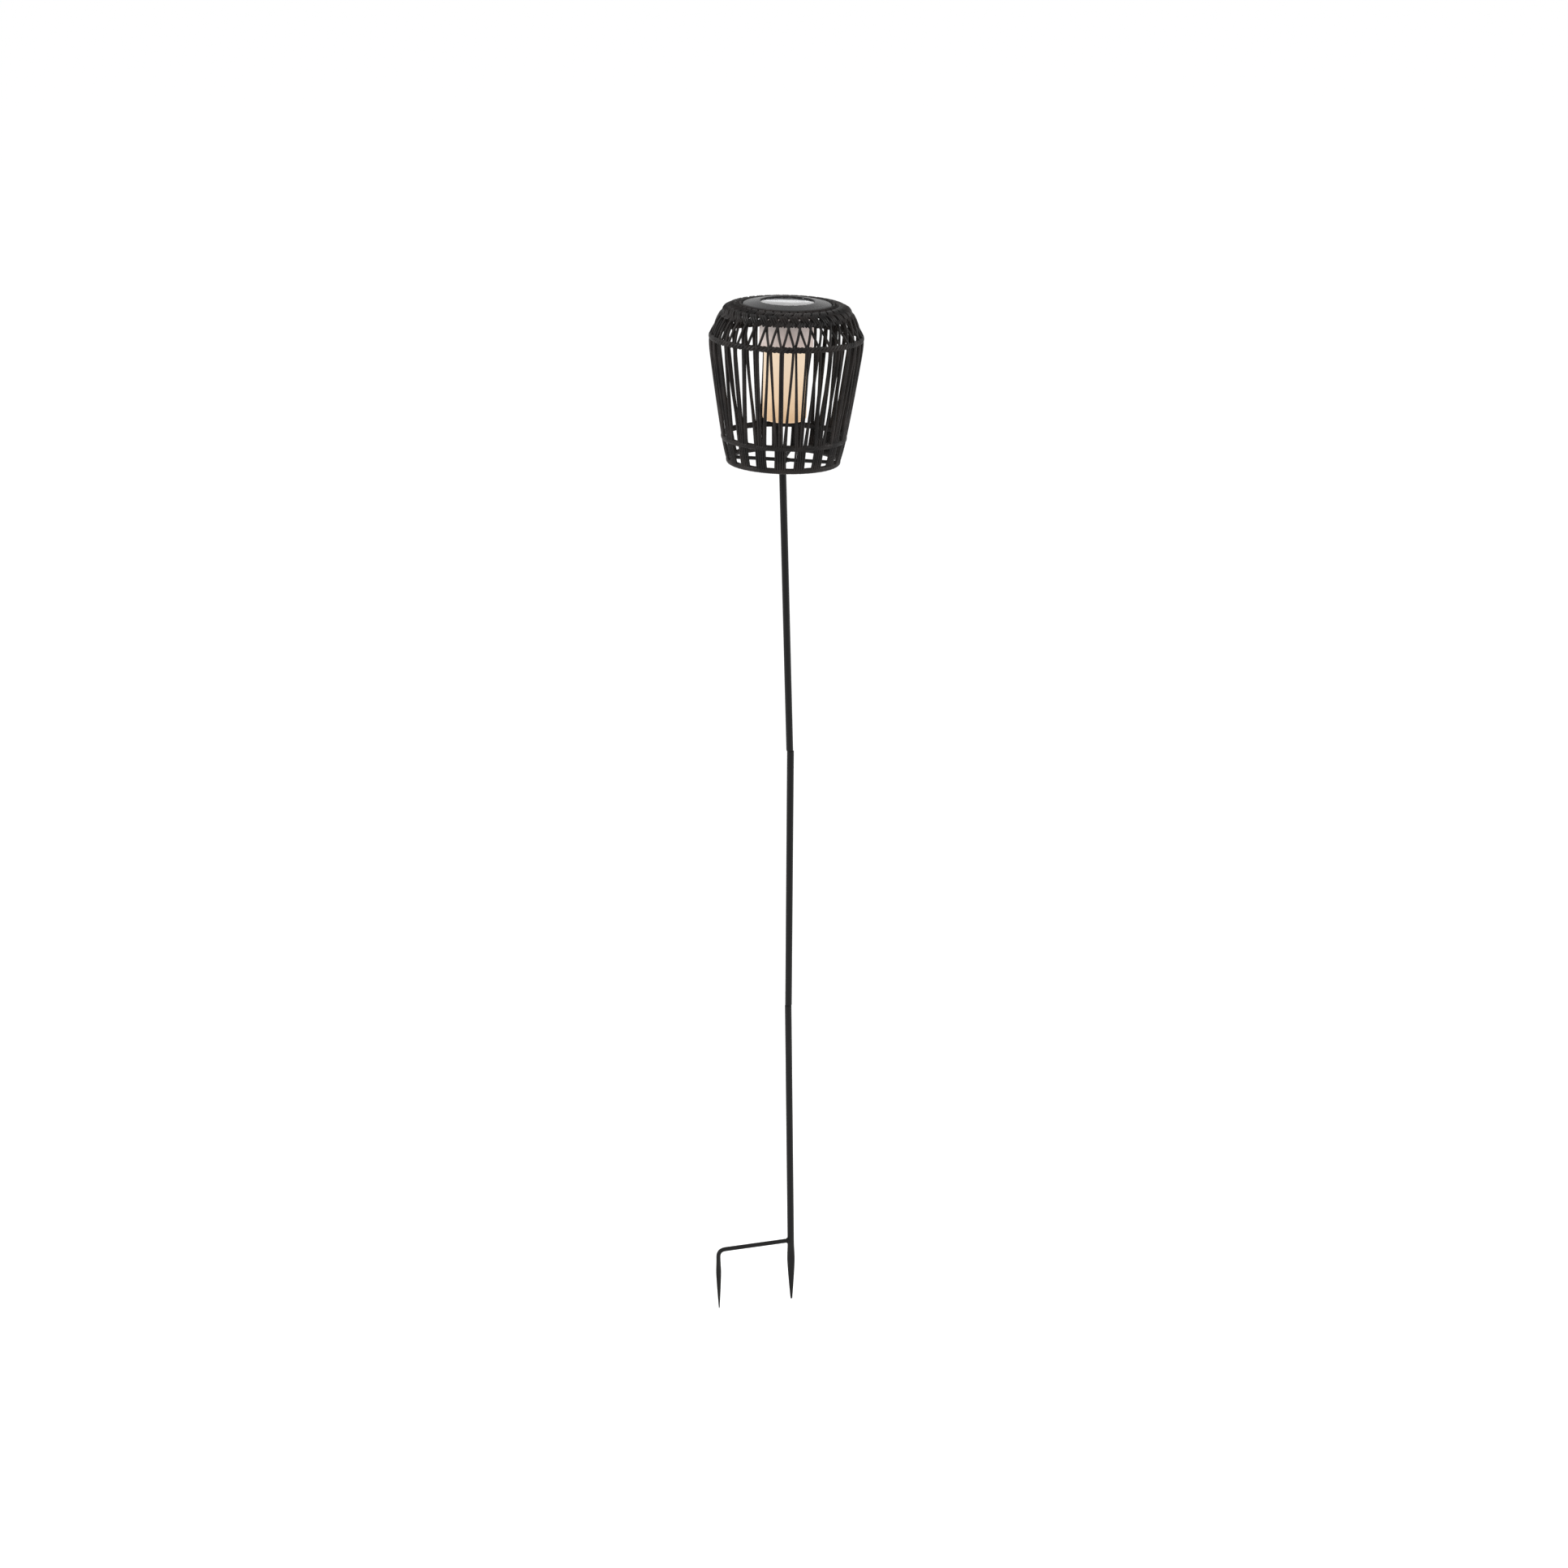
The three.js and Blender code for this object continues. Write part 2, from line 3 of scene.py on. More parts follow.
import json
import logging
import math
import random
from collections.abc import Callable, Iterable, Sequence
from dataclasses import dataclass, field
from enum import Enum
from functools import cached_property

import bmesh
import bpy
from mathutils import Matrix, Vector


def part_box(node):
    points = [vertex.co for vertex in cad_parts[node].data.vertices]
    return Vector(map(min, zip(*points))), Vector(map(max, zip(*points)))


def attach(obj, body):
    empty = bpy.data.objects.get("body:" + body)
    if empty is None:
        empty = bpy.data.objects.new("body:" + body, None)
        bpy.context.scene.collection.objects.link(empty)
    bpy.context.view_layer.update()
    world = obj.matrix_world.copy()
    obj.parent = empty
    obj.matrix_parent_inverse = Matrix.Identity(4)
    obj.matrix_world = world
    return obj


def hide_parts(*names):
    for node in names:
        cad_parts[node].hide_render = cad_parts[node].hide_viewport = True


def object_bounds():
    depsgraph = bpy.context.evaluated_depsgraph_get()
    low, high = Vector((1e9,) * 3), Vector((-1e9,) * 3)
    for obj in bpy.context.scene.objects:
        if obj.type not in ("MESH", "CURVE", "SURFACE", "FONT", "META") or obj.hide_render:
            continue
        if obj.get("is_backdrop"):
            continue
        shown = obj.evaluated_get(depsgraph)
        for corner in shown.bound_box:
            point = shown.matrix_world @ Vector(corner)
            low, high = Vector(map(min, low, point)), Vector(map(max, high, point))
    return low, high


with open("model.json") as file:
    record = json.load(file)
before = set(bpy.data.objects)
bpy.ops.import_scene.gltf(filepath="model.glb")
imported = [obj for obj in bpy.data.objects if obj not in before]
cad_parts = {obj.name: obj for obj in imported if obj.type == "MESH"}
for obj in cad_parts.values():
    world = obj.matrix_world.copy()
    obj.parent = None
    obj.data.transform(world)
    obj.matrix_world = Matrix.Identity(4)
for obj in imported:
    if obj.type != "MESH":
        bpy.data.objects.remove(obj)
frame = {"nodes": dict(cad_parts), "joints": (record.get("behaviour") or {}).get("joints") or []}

Colour = tuple[float, float, float]
Spot = tuple[float, float, float]
Profile = Sequence[tuple[float, float]]

MM = 0.001
SEED = 48
log = logging.getLogger("garden_torch")


class Body(Enum):
    """The moving bodies that new pieces ride on."""

    STAKE = "stake"
    MIDDLE = "middle_section"
    UPPER = "upper_section"
    LANTERN = "lantern"
    MODULE = "solar_module"


class Slot(Enum):
    """The record's material slots, listed beside some new pieces; their finishes come from make_finishes, not
    from these.
    """

    POLE_COAT = "pole_coat"
    FRAME_WIRE = "frame_wire"
    CANE = "cane"
    BLACK_PLASTIC = "black_plastic"
    CLEAR_LENS = "clear_lens"
    FROSTED_PLASTIC = "frosted_plastic"


# ---------------------------------------------------------------- where each section stands


@dataclass(frozen=True)
class Place:
    """A section's own frame: its origin in metres and the direction of its axis, which leans about Y."""

    origin: Vector
    axis: Vector

    @property
    def matrix(self) -> Matrix:
        """The matrix from the section's millimetres to the torch's metres."""
        lean = math.atan2(self.axis.x, self.axis.z)
        return Matrix.Translation(self.origin) @ Matrix.Rotation(lean, 4, "Y") @ Matrix.Scale(MM, 4)


def joint_axis(name: str) -> Vector:
    """The direction in which a joint slides."""
    entry = next(joint for joint in frame["joints"] if joint["name"] == name)
    return Vector(entry["axis"])


def place_on_axis(node: str, height: float, joint: str) -> Place:
    """The frame of a section, found from one of its round nodes.

    Args:
        node: a node that is round about the section's axis.
        height: the height of that node's middle in the section's own frame, in millimetres.
        joint: a joint that slides along the section's axis.

    Returns:
        The section's place.
    """
    low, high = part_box(node)
    axis = joint_axis(joint)
    return Place((low + high) / 2 - axis * height * MM, axis)


# ---------------------------------------------------------------- making meshes


def finished_piece(name: str, mesh: bpy.types.Mesh, place: Place, body: Body,
                   material: bpy.types.Material, nodes: Sequence[str] = ()) -> bpy.types.Object:
    """Puts a mesh made in millimetres in its place, dresses it and sets it riding on its body.

    Args:
        name: the piece's name.
        mesh: the mesh, in its section's own frame.
        place: where that section stands.
        body: the body that carries the piece.
        material: its finish.
        nodes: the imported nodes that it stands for.

    Returns:
        The finished object.
    """
    mesh.transform(place.matrix)
    mesh.name = name
    mesh.polygons.foreach_set("use_smooth", [True] * len(mesh.polygons))
    mesh.set_sharp_from_angle(angle=math.radians(38))
    mesh.materials.clear()
    mesh.materials.append(material)
    piece = bpy.data.objects.new(name, mesh)
    bpy.context.scene.collection.objects.link(piece)
    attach(piece, body.value)
    if nodes:
        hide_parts(*nodes)
    return piece


def mesh_from(shape: bmesh.types.BMesh) -> bpy.types.Mesh:
    """Closes a bmesh's seams, points its faces outwards and turns it into a mesh."""
    bmesh.ops.remove_doubles(shape, verts=shape.verts, dist=1e-4)
    bmesh.ops.recalc_face_normals(shape, faces=shape.faces)
    if shape.calc_volume(signed=True) < 0:
        bmesh.ops.reverse_faces(shape, faces=shape.faces)
    mesh = bpy.data.meshes.new("shape")
    shape.to_mesh(mesh)
    shape.free()
    return mesh


def turned_shape(profile: Profile, segments: int = 72, closed: bool = False) -> bmesh.types.BMesh:
    """Spins a profile about the axis.

    Args:
        profile: pairs of radius and height.
        segments: the steps of a full turn.
        closed: True where the profile goes once round a ring's section.

    Returns:
        The turned bmesh.
    """
    shape = bmesh.new()
    corners = [shape.verts.new((radius, 0, height)) for radius, height in profile]
    ends = [*corners, corners[0]] if closed else corners
    edges = [shape.edges.new(pair) for pair in zip(ends, ends[1:])]
    bmesh.ops.spin(shape, geom=[*corners, *edges], cent=(0, 0, 0), axis=(0, 0, 1), angle=2 * math.pi,
                   steps=segments, use_merge=True)
    return shape


def rounded(profile: Profile, radius: float, steps: int = 3, closed: bool = False) -> Profile:
    """Rounds the corners of a profile.

    Args:
        profile: pairs of radius and height.
        radius: how far along each side the rounding starts.
        steps: the steps of each rounded corner.
        closed: True where the profile closes on itself, so that its ends are corners too.

    Returns:
        The profile with its corners rounded.
    """
    points = [Vector(point) for point in profile]
    count = len(points)
    made: list[tuple[float, float]] = []
    for i, corner in enumerate(points):
        if not closed and i in (0, count - 1):
            made.append(tuple(corner))
            continue
        before, after = points[i - 1] - corner, points[(i + 1) % count] - corner
        start = corner + before.normalized() * min(radius, before.length * 0.45)
        end = corner + after.normalized() * min(radius, after.length * 0.45)
        for step in range(steps + 1):
            share = step / steps
            made.append(tuple(start.lerp(corner, share).lerp(corner.lerp(end, share), share)))
    return made


def swept(paths: Iterable[Sequence[Vector]], radius: float, closed: bool = False, roundness: int = 2,
          swell: Callable[[float], float] = lambda share: 1.0) -> bpy.types.Mesh:
    """Round canes or wires laid along paths.

    Args:
        paths: the points of each one's middle, in millimetres.
        radius: the radius of each.
        closed: True where each path ends where it starts.
        roundness: how finely the round section is made.
        swell: the share of the radius to use, by the share of the path.

    Returns:
        One mesh of them all, which has a UV map: u round the cane and v along it.
    """
    curve = bpy.data.curves.new("cane_path", "CURVE")
    curve.dimensions = "3D"
    curve.bevel_depth = radius
    curve.bevel_resolution = roundness
    curve.use_fill_caps = True
    for path in paths:
        spline = curve.splines.new("POLY")
        spline.points.add(len(path) - 1)
        for i, (point, place) in enumerate(zip(spline.points, path)):
            point.co = (*place, 1)
            point.radius = swell(i / (len(path) - 1))
        spline.use_cyclic_u = closed
    holder = bpy.data.objects.new("cane_path", curve)
    bpy.context.scene.collection.objects.link(holder)
    graph = bpy.context.evaluated_depsgraph_get()
    mesh = bpy.data.meshes.new_from_object(holder.evaluated_get(graph))
    bpy.data.objects.remove(holder)
    bpy.data.curves.remove(curve)
    return mesh


# ---------------------------------------------------------------- shader nodes


class Value:
    """A number that changes over a surface. Arithmetic on it adds Math nodes."""

    def __init__(self, recipe: "Recipe", socket: bpy.types.NodeSocket) -> None:
        """Wraps an output socket of a recipe's nodes."""
        self.recipe = recipe
        self.socket = socket

    def _maths(self, operation: str, first: "Value | float", second: "Value | float") -> "Value":
        """One Math node's result."""
        node = self.recipe.node("ShaderNodeMath", {"operation": operation}, {0: first, 1: second})
        return Value(self.recipe, node.outputs[0])

    def __add__(self, other: "Value | float") -> "Value":
        """self + other."""
        return self._maths("ADD", self, other)

    def __radd__(self, other: float) -> "Value":
        """other + self."""
        return self._maths("ADD", other, self)

    def __sub__(self, other: "Value | float") -> "Value":
        """self - other."""
        return self._maths("SUBTRACT", self, other)

    def __rsub__(self, other: float) -> "Value":
        """other - self."""
        return self._maths("SUBTRACT", other, self)

    def __mul__(self, other: "Value | float") -> "Value":
        """self * other."""
        return self._maths("MULTIPLY", self, other)

    def __rmul__(self, other: float) -> "Value":
        """other * self."""
        return self._maths("MULTIPLY", other, self)

    def __gt__(self, other: "Value | float") -> "Value":
        """1 where self is over other, and 0 elsewhere."""
        return self._maths("GREATER_THAN", self, other)

    def wave(self, cycles: float) -> "Value":
        """A wave from 0 to 1 with that many cycles for each unit of self."""
        swing = self._maths("SINE", self * (2 * math.pi * cycles), 0.0)
        return swing * 0.5 + 0.5

    def eased(self, low: float, high: float) -> "Value":
        """0 below low, 1 above high, and a smooth change in between."""
        node = self.recipe.node("ShaderNodeMapRange", {"interpolation_type": "SMOOTHSTEP"},
                                {"Value": self, "From Min": low, "From Max": high})
        return Value(self.recipe, node.outputs["Result"])


Input = Value | bpy.types.NodeSocket | float | Sequence[float]


class Recipe:
    """One material being made of nodes."""

    def __init__(self, name: str) -> None:
        """Starts a material with a shader and an output."""
        self.material = bpy.data.materials.new(name)
        self.material.use_nodes = True
        self.tree = self.material.node_tree
        self.tree.nodes.clear()
        self.shader = self.tree.nodes.new("ShaderNodeBsdfPrincipled")
        output = self.tree.nodes.new("ShaderNodeOutputMaterial")
        self.tree.links.new(self.shader.outputs["BSDF"], output.inputs["Surface"])

    def node(self, kind: str, settings: dict[str, object] | None = None,
             sockets: dict[str | int, Input] | None = None) -> bpy.types.Node:
        """Adds a node.

        Args:
            kind: the node's type.
            settings: its properties, which are set first. "stops" are a ramp's places and colours.
            sockets: what goes into its inputs: a value to set or an output to link.

        Returns:
            The node.
        """
        made = self.tree.nodes.new(kind)
        for key, setting in (settings or {}).items():
            if key == "stops":
                self._set_stops(made.color_ramp, setting)
            else:
                setattr(made, key, setting)
        for key, given in (sockets or {}).items():
            self.feed(made.inputs[key], given)
        return made

    def feed(self, socket: bpy.types.NodeSocket, given: Input) -> None:
        """Links an output to a socket, or sets the socket's own value."""
        source = given.socket if isinstance(given, Value) else given
        if isinstance(source, bpy.types.NodeSocket):
            self.tree.links.new(source, socket)
        else:
            socket.default_value = source

    def set(self, **inputs: Input) -> None:
        """Feeds the shader's sockets, whose names are written with _ for a space."""
        for name, given in inputs.items():
            self.feed(self.shader.inputs[name.replace("_", " ")], given)

    @staticmethod
    def _set_stops(ramp: bpy.types.ColorRamp, stops: Sequence[tuple[float, Colour]]) -> None:
        """Gives a colour ramp its stops."""
        while len(ramp.elements) < len(stops):
            ramp.elements.new(1.0)
        for element, (place, colour) in zip(ramp.elements, stops):
            element.position = place
            element.color = (*colour, 1)

    @cached_property
    def place(self) -> bpy.types.NodeSocket:
        """The point on the object, in metres."""
        return self.node("ShaderNodeTexCoord").outputs["Object"]

    @cached_property
    def height(self) -> Value:
        """The height above the ground, in metres."""
        parts = self.node("ShaderNodeSeparateXYZ", None, {0: self.place})
        return Value(self, parts.outputs["Z"])

    def along(self, direction: Vector, origin: Vector) -> Value:
        """How far a point lies from an origin in one direction, in metres."""
        away = self.node("ShaderNodeVectorMath", {"operation": "SUBTRACT"}, {0: self.place, 1: origin})
        spread = {0: away.outputs["Vector"], 1: direction}
        product = self.node("ShaderNodeVectorMath", {"operation": "DOT_PRODUCT"}, spread)
        return Value(self, product.outputs["Value"])

    def round_cane(self) -> tuple[Value, Value]:
        """The piece's own UV map: the share round a cane and the share along it."""
        uv = self.node("ShaderNodeUVMap", {"uv_map": "UVMap"})
        parts = self.node("ShaderNodeSeparateXYZ", None, {0: uv.outputs["UV"]})
        return Value(self, parts.outputs["X"]), Value(self, parts.outputs["Y"])

    def speckle(self, scale: float, detail: float = 2.0, stretch: Sequence[float] = (1, 1, 1)) -> Value:
        """Noise from 0 to 1.

        Args:
            scale: the number of its cells in a metre.
            detail: how many finer layers it has.
            stretch: how much more finely it runs along each axis.

        Returns:
            The noise.
        """
        mapping = self.node("ShaderNodeMapping", None, {"Vector": self.place, "Scale": stretch})
        sockets = {"Vector": mapping.outputs["Vector"], "Scale": scale, "Detail": detail}
        return Value(self, self.node("ShaderNodeTexNoise", None, sockets).outputs["Fac"])

    def blend(self, factor: Value, low: Input, high: Input) -> bpy.types.NodeSocket:
        """A colour between low and high."""
        first = (*low, 1) if isinstance(low, tuple) else low
        second = (*high, 1) if isinstance(high, tuple) else high
        node = self.node("ShaderNodeMix", {"data_type": "RGBA"}, {0: factor, 6: first, 7: second})
        return node.outputs[2]

    def bump(self, height: Value, distance: float, strength: float = 1.0) -> bpy.types.NodeSocket:
        """The normal of a surface raised by height times a distance in metres."""
        sockets = {"Height": height, "Distance": distance, "Strength": strength}
        return self.node("ShaderNodeBump", None, sockets).outputs["Normal"]


# ---------------------------------------------------------------- finishes


@dataclass(frozen=True)
class PowderCoat:
    """Satin black powder coat on steel, with a fine orange peel and a few dull scuffs."""

    name: str = "satin_powder_coat"
    colour: Colour = (0.0052, 0.0050, 0.0050)
    dusty: Colour = (0.013, 0.012, 0.0115)
    roughness: float = 0.34
    specular: float = 0.15
    peel_cells: float = 900.0
    peel_depth: float = 0.00006

    def material(self) -> bpy.types.Material:
        """The finish as a material."""
        recipe = Recipe(self.name)
        scuffs = recipe.speckle(55, 6, (1, 1, 0.25)).eased(0.56, 0.74)
        peel = recipe.speckle(self.peel_cells, 1)
        recipe.set(
            Base_Color=recipe.blend(scuffs, self.colour, self.dusty),
            Roughness=self.roughness + 0.22 * scuffs + 0.05 * peel,
            Normal=recipe.bump(peel, self.peel_depth, 0.5),
            Specular_IOR_Level=self.specular,
        )
        return recipe.material


@dataclass(frozen=True)
class ResinCane:
    """Drawn resin cane: fine grooves along it, uneven colour and a low sheen."""

    name: str = "black_resin_cane"
    dark: Colour = (0.0052, 0.0046, 0.0044)
    light: Colour = (0.0150, 0.0120, 0.0110)
    worn: Colour = (0.040, 0.035, 0.032)
    roughness: float = 0.46
    specular: float = 0.14
    grooves: int = 9
    groove_depth: float = 0.00011

    def material(self) -> bpy.types.Material:
        """The finish as a material."""
        recipe = Recipe(self.name)
        around, _ = recipe.round_cane()
        ridges = around.wave(self.grooves)
        patches = recipe.speckle(38, 3).eased(0.34, 0.68)
        rubbed = recipe.speckle(420, 3).eased(0.6, 0.78)
        grain = recipe.speckle(1500, 2)
        tone = recipe.blend(patches, self.dark, self.light)
        relief = ridges * 0.7 + grain * 0.5
        recipe.set(
            Base_Color=recipe.blend(rubbed * ridges * 0.6, tone, self.worn),
            Roughness=self.roughness + 0.14 * grain - 0.07 * ridges,
            Normal=recipe.bump(relief, self.groove_depth, 0.7),
            Specular_IOR_Level=self.specular,
        )
        return recipe.material


@dataclass(frozen=True)
class MouldedPlastic:
    """Moulded plastic with a fine spark-eroded grain."""

    name: str
    colour: Colour
    shade: Colour
    roughness: float
    grain_cells: float = 1400.0
    grain_depth: float = 0.00003
    specular: float = 0.5
    translucence: float = 0.0
    glow: Colour = (0.0, 0.0, 0.0)
    glow_strength: float = 0.0

    def material(self) -> bpy.types.Material:
        """The finish as a material."""
        recipe = Recipe(self.name)
        grain = recipe.speckle(self.grain_cells, 2)
        cloud = recipe.speckle(28, 3).eased(0.35, 0.7)
        recipe.set(
            Base_Color=recipe.blend(cloud, self.colour, self.shade),
            Roughness=self.roughness + 0.1 * grain,
            Normal=recipe.bump(grain, self.grain_depth, 0.5),
            Specular_IOR_Level=self.specular,
            Emission_Color=(*self.glow, 1),
            Emission_Strength=self.glow_strength,
        )
        if self.translucence:
            recipe.set(Subsurface_Weight=self.translucence, Subsurface_Radius=(0.004, 0.0034, 0.003))
        return recipe.material


@dataclass(frozen=True)
class ClearLens:
    """Clear glossy plastic over the solar cell, with faint polishing marks."""

    name: str = "clear_lens_plastic"

    def material(self) -> bpy.types.Material:
        """The finish as a material."""
        recipe = Recipe(self.name)
        marks = recipe.speckle(120, 6, (1, 0.3, 1)).eased(0.5, 0.8)
        recipe.set(
            Base_Color=recipe.blend(marks, (0.96, 0.98, 1.0), (0.9, 0.92, 0.94)),
            Roughness=0.05 + 0.1 * marks,
            Transmission_Weight=1.0,
            IOR=1.5,
            Coat_Weight=0.4 + 0.4 * marks,
            Coat_Roughness=0.05,
        )
        return recipe.material


@dataclass(frozen=True)
class SolarSilicon:
    """Dark blue crystals under silver fingers and two wider bus bars."""

    middle: Vector
    width: float
    name: str = "solar_silicon"
    fingers: int = 22

    def material(self) -> bpy.types.Material:
        """The finish as a material."""
        recipe = Recipe(self.name)
        sockets = {"Vector": recipe.place, "Scale": 260.0}
        crystals = recipe.node("ShaderNodeTexVoronoi", None, sockets).outputs["Color"]
        grain = Value(recipe, recipe.node("ShaderNodeSeparateColor", None, {0: crystals}).outputs[0])
        across = recipe.along(Vector((1, 0, 0)), self.middle)
        back = recipe.along(Vector((0, 1, 0)), self.middle)
        finger = across.wave(self.fingers / self.width) > 0.985
        bus = back.wave(2 / self.width) > 0.97
        silver = (finger + bus).eased(0.1, 0.9)
        blue = recipe.blend(grain, (0.004, 0.008, 0.028), (0.010, 0.018, 0.055))
        recipe.set(
            Base_Color=recipe.blend(silver, blue, (0.55, 0.56, 0.58)),
            Roughness=0.22 + 0.1 * grain,
            Metallic=silver * 0.8,
            Specular_IOR_Level=0.6,
        )
        return recipe.material


@dataclass(frozen=True)
class GlowingTube:
    """Frosted plastic with a painted glow for the lamp above it: pale cream at the top, amber at the closed
    end.
    """

    low: float
    high: float
    name: str = "glowing_frosted_plastic"
    strength: float = 0.84
    amber: Colour = (0.60, 0.39, 0.225)
    peach: Colour = (0.75, 0.56, 0.385)
    cream: Colour = (0.78, 0.64, 0.49)

    def material(self) -> bpy.types.Material:
        """The finish as a material."""
        recipe = Recipe(self.name)
        cloud = recipe.speckle(60, 3)
        grain = recipe.speckle(1100, 2)
        # Painted glow: this emission, graded by height, stands in for the light of the lamp at the tube's
        # top.
        rise = (recipe.height - self.low) * (1 / (self.high - self.low)) + (cloud - 0.5) * 0.12
        stops = [(0.0, self.amber), (0.34, self.peach), (0.8, self.cream)]
        ramp = recipe.node("ShaderNodeValToRGB", {"stops": stops}, {"Fac": rise})
        recipe.set(
            Base_Color=recipe.blend(cloud, (0.20, 0.13, 0.07), (0.26, 0.19, 0.11)),
            Roughness=0.42 + 0.12 * grain,
            Normal=recipe.bump(grain, 0.00004, 0.5),
            Emission_Color=ramp.outputs["Color"],
            Emission_Strength=self.strength,
            Specular_IOR_Level=0.35,
        )
        return recipe.material


@dataclass(frozen=True)
class LitHousing:
    """Pale cloudy plastic with a painted glow for the lamp below it, strongest at its lower end."""

    low: float
    high: float
    name: str = "pale_housing_plastic"
    colour: Colour = (0.50, 0.47, 0.455)
    shade: Colour = (0.43, 0.405, 0.39)
    painted_lamp_glow: Colour = (0.62, 0.42, 0.35)
    dim: Colour = (0.10, 0.08, 0.075)
    strength: float = 0.42

    def material(self) -> bpy.types.Material:
        """The finish as a material."""
        recipe = Recipe(self.name)
        cloud = recipe.speckle(34, 3)
        grain = recipe.speckle(1400, 2)
        rise = (recipe.height - self.low) * (1 / (self.high - self.low)) + (cloud - 0.5) * 0.2
        recipe.set(
            Base_Color=recipe.blend(cloud.eased(0.35, 0.7), self.colour, self.shade),
            Roughness=0.44 + 0.12 * grain,
            Normal=recipe.bump(grain, 0.00003, 0.5),
            # Painted glow: emission that stands in for the lamp's light, warm at the lower end and dim
            # towards the top.
            Emission_Color=recipe.blend(rise.eased(0.0, 0.9), self.painted_lamp_glow, self.dim),
            Emission_Strength=self.strength,
            Specular_IOR_Level=0.4,
            Subsurface_Weight=0.3,
            Subsurface_Radius=(0.004, 0.0034, 0.003),
        )
        return recipe.material


@dataclass(frozen=True)
class PlatedMetal:
    """Nickel plate with fine turning marks."""

    name: str = "nickel_plate"
    colour: Colour = (0.52, 0.51, 0.49)
    roughness: float = 0.24

    def material(self) -> bpy.types.Material:
        """The finish as a material."""
        recipe = Recipe(self.name)
        marks = recipe.speckle(900, 4, (1, 1, 6))
        tarnish = recipe.speckle(160, 3).eased(0.5, 0.8)
        recipe.set(
            Base_Color=recipe.blend(tarnish, self.colour, (0.34, 0.32, 0.28)),
            Metallic=1.0,
            Roughness=self.roughness + 0.16 * marks + 0.2 * tarnish,
            Normal=recipe.bump(marks, 0.00001, 0.4),
        )
        return recipe.material


@dataclass(frozen=True)
class BatteryWrap:
    """A printed sleeve: a green body and a copper-coloured shoulder, with no lettering."""

    low: Vector
    high: Vector
    axis: Vector
    name: str = "battery_wrap"

    def material(self) -> bpy.types.Material:
        """The finish as a material."""
        recipe = Recipe(self.name)
        length = (self.high - self.low).dot(self.axis)
        share = recipe.along(self.axis, (self.low + self.high) / 2) * (1 / length) + 0.5
        scratches = recipe.speckle(300, 5, (0.3, 1, 1)).eased(0.55, 0.75)
        sleeve = recipe.blend(share > 0.78, (0.02, 0.14, 0.07), (0.34, 0.15, 0.06))
        bare = share > 0.945
        printed = recipe.blend(bare, sleeve, (0.5, 0.5, 0.48))
        recipe.set(
            Base_Color=recipe.blend(scratches * 0.3, printed, (0.4, 0.4, 0.4)),
            Roughness=0.28 + 0.25 * scratches,
            Metallic=bare * 0.9,
        )
        return recipe.material


@dataclass(frozen=True)
class BoardLaminate:
    """Green solder mask over copper tracks and tinned pads."""

    middle: Vector
    name: str = "board_laminate"

    def material(self) -> bpy.types.Material:
        """The finish as a material."""
        recipe = Recipe(self.name)
        across = recipe.along(Vector((1, 0, 0)), self.middle)
        back = recipe.along(Vector((0, 1, 0)), self.middle)
        tracks = (across.wave(180) > 0.8) * (recipe.speckle(90, 0) > 0.5)
        pads = (across.wave(360) > 0.85) * (back.wave(360) > 0.85) * (recipe.speckle(120, 0) > 0.58)
        mask = recipe.blend(tracks, (0.012, 0.085, 0.03), (0.03, 0.16, 0.05))
        recipe.set(
            Base_Color=recipe.blend(pads, mask, (0.6, 0.6, 0.58)),
            Roughness=0.34 + 0.1 * recipe.speckle(800, 2),
            Metallic=pads * 0.8,
            Normal=recipe.bump(tracks + pads, 0.00004, 0.6),
        )
        return recipe.material


@dataclass(frozen=True)
class Finishes:
    """Every finish on the torch."""

    coat: bpy.types.Material
    wire: bpy.types.Material
    cane: bpy.types.Material
    bezel: bpy.types.Material
    lens: bpy.types.Material
    rubber: bpy.types.Material
    housing: bpy.types.Material
    tray: bpy.types.Material
    glow: bpy.types.Material
    nickel: bpy.types.Material
    resin: bpy.types.Material
    silicon: bpy.types.Material
    battery: bpy.types.Material
    board: bpy.types.Material


def make_finishes() -> Finishes:
    """Makes every finish, with those that follow a node's place read from its box."""
    candle_low, candle_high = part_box("candle_tube")
    housing_low, housing_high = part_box("module_housing")
    cell_low, cell_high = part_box("solar_cell")
    board_low, board_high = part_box("circuit_board")
    battery_low, battery_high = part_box("battery")
    return Finishes(
        coat=PowderCoat().material(),
        wire=PowderCoat("black_wire_coat", (0.009, 0.0085, 0.0082), roughness=0.5).material(),
        cane=ResinCane().material(),
        bezel=MouldedPlastic("bezel_plastic", (0.015, 0.015, 0.0155), (0.022, 0.022, 0.022), 0.22,
                             specular=0.045).material(),
        lens=ClearLens().material(),
        rubber=MouldedPlastic("seal_rubber", (0.012, 0.012, 0.013), (0.02, 0.02, 0.02), 0.78,
                              specular=0.25).material(),
        housing=LitHousing(housing_low.z, housing_high.z).material(),
        tray=MouldedPlastic("white_tray_plastic", (0.62, 0.62, 0.61), (0.56, 0.56, 0.55), 0.4).material(),
        glow=GlowingTube(candle_low.z, candle_high.z).material(),
        nickel=PlatedMetal().material(),
        resin=MouldedPlastic("lamp_resin", (0.9, 0.8, 0.5), (0.85, 0.74, 0.42), 0.12, grain_depth=0.00001,
                             translucence=0.4, glow=(1.0, 0.82, 0.5), glow_strength=2.0).material(),
        silicon=SolarSilicon((cell_low + cell_high) / 2, cell_high.y - cell_low.y).material(),
        battery=BatteryWrap(battery_low, battery_high, joint_axis("switch_slide")).material(),
        board=BoardLaminate((board_low + board_high) / 2).material(),
    )


# ---------------------------------------------------------------- pole and stake


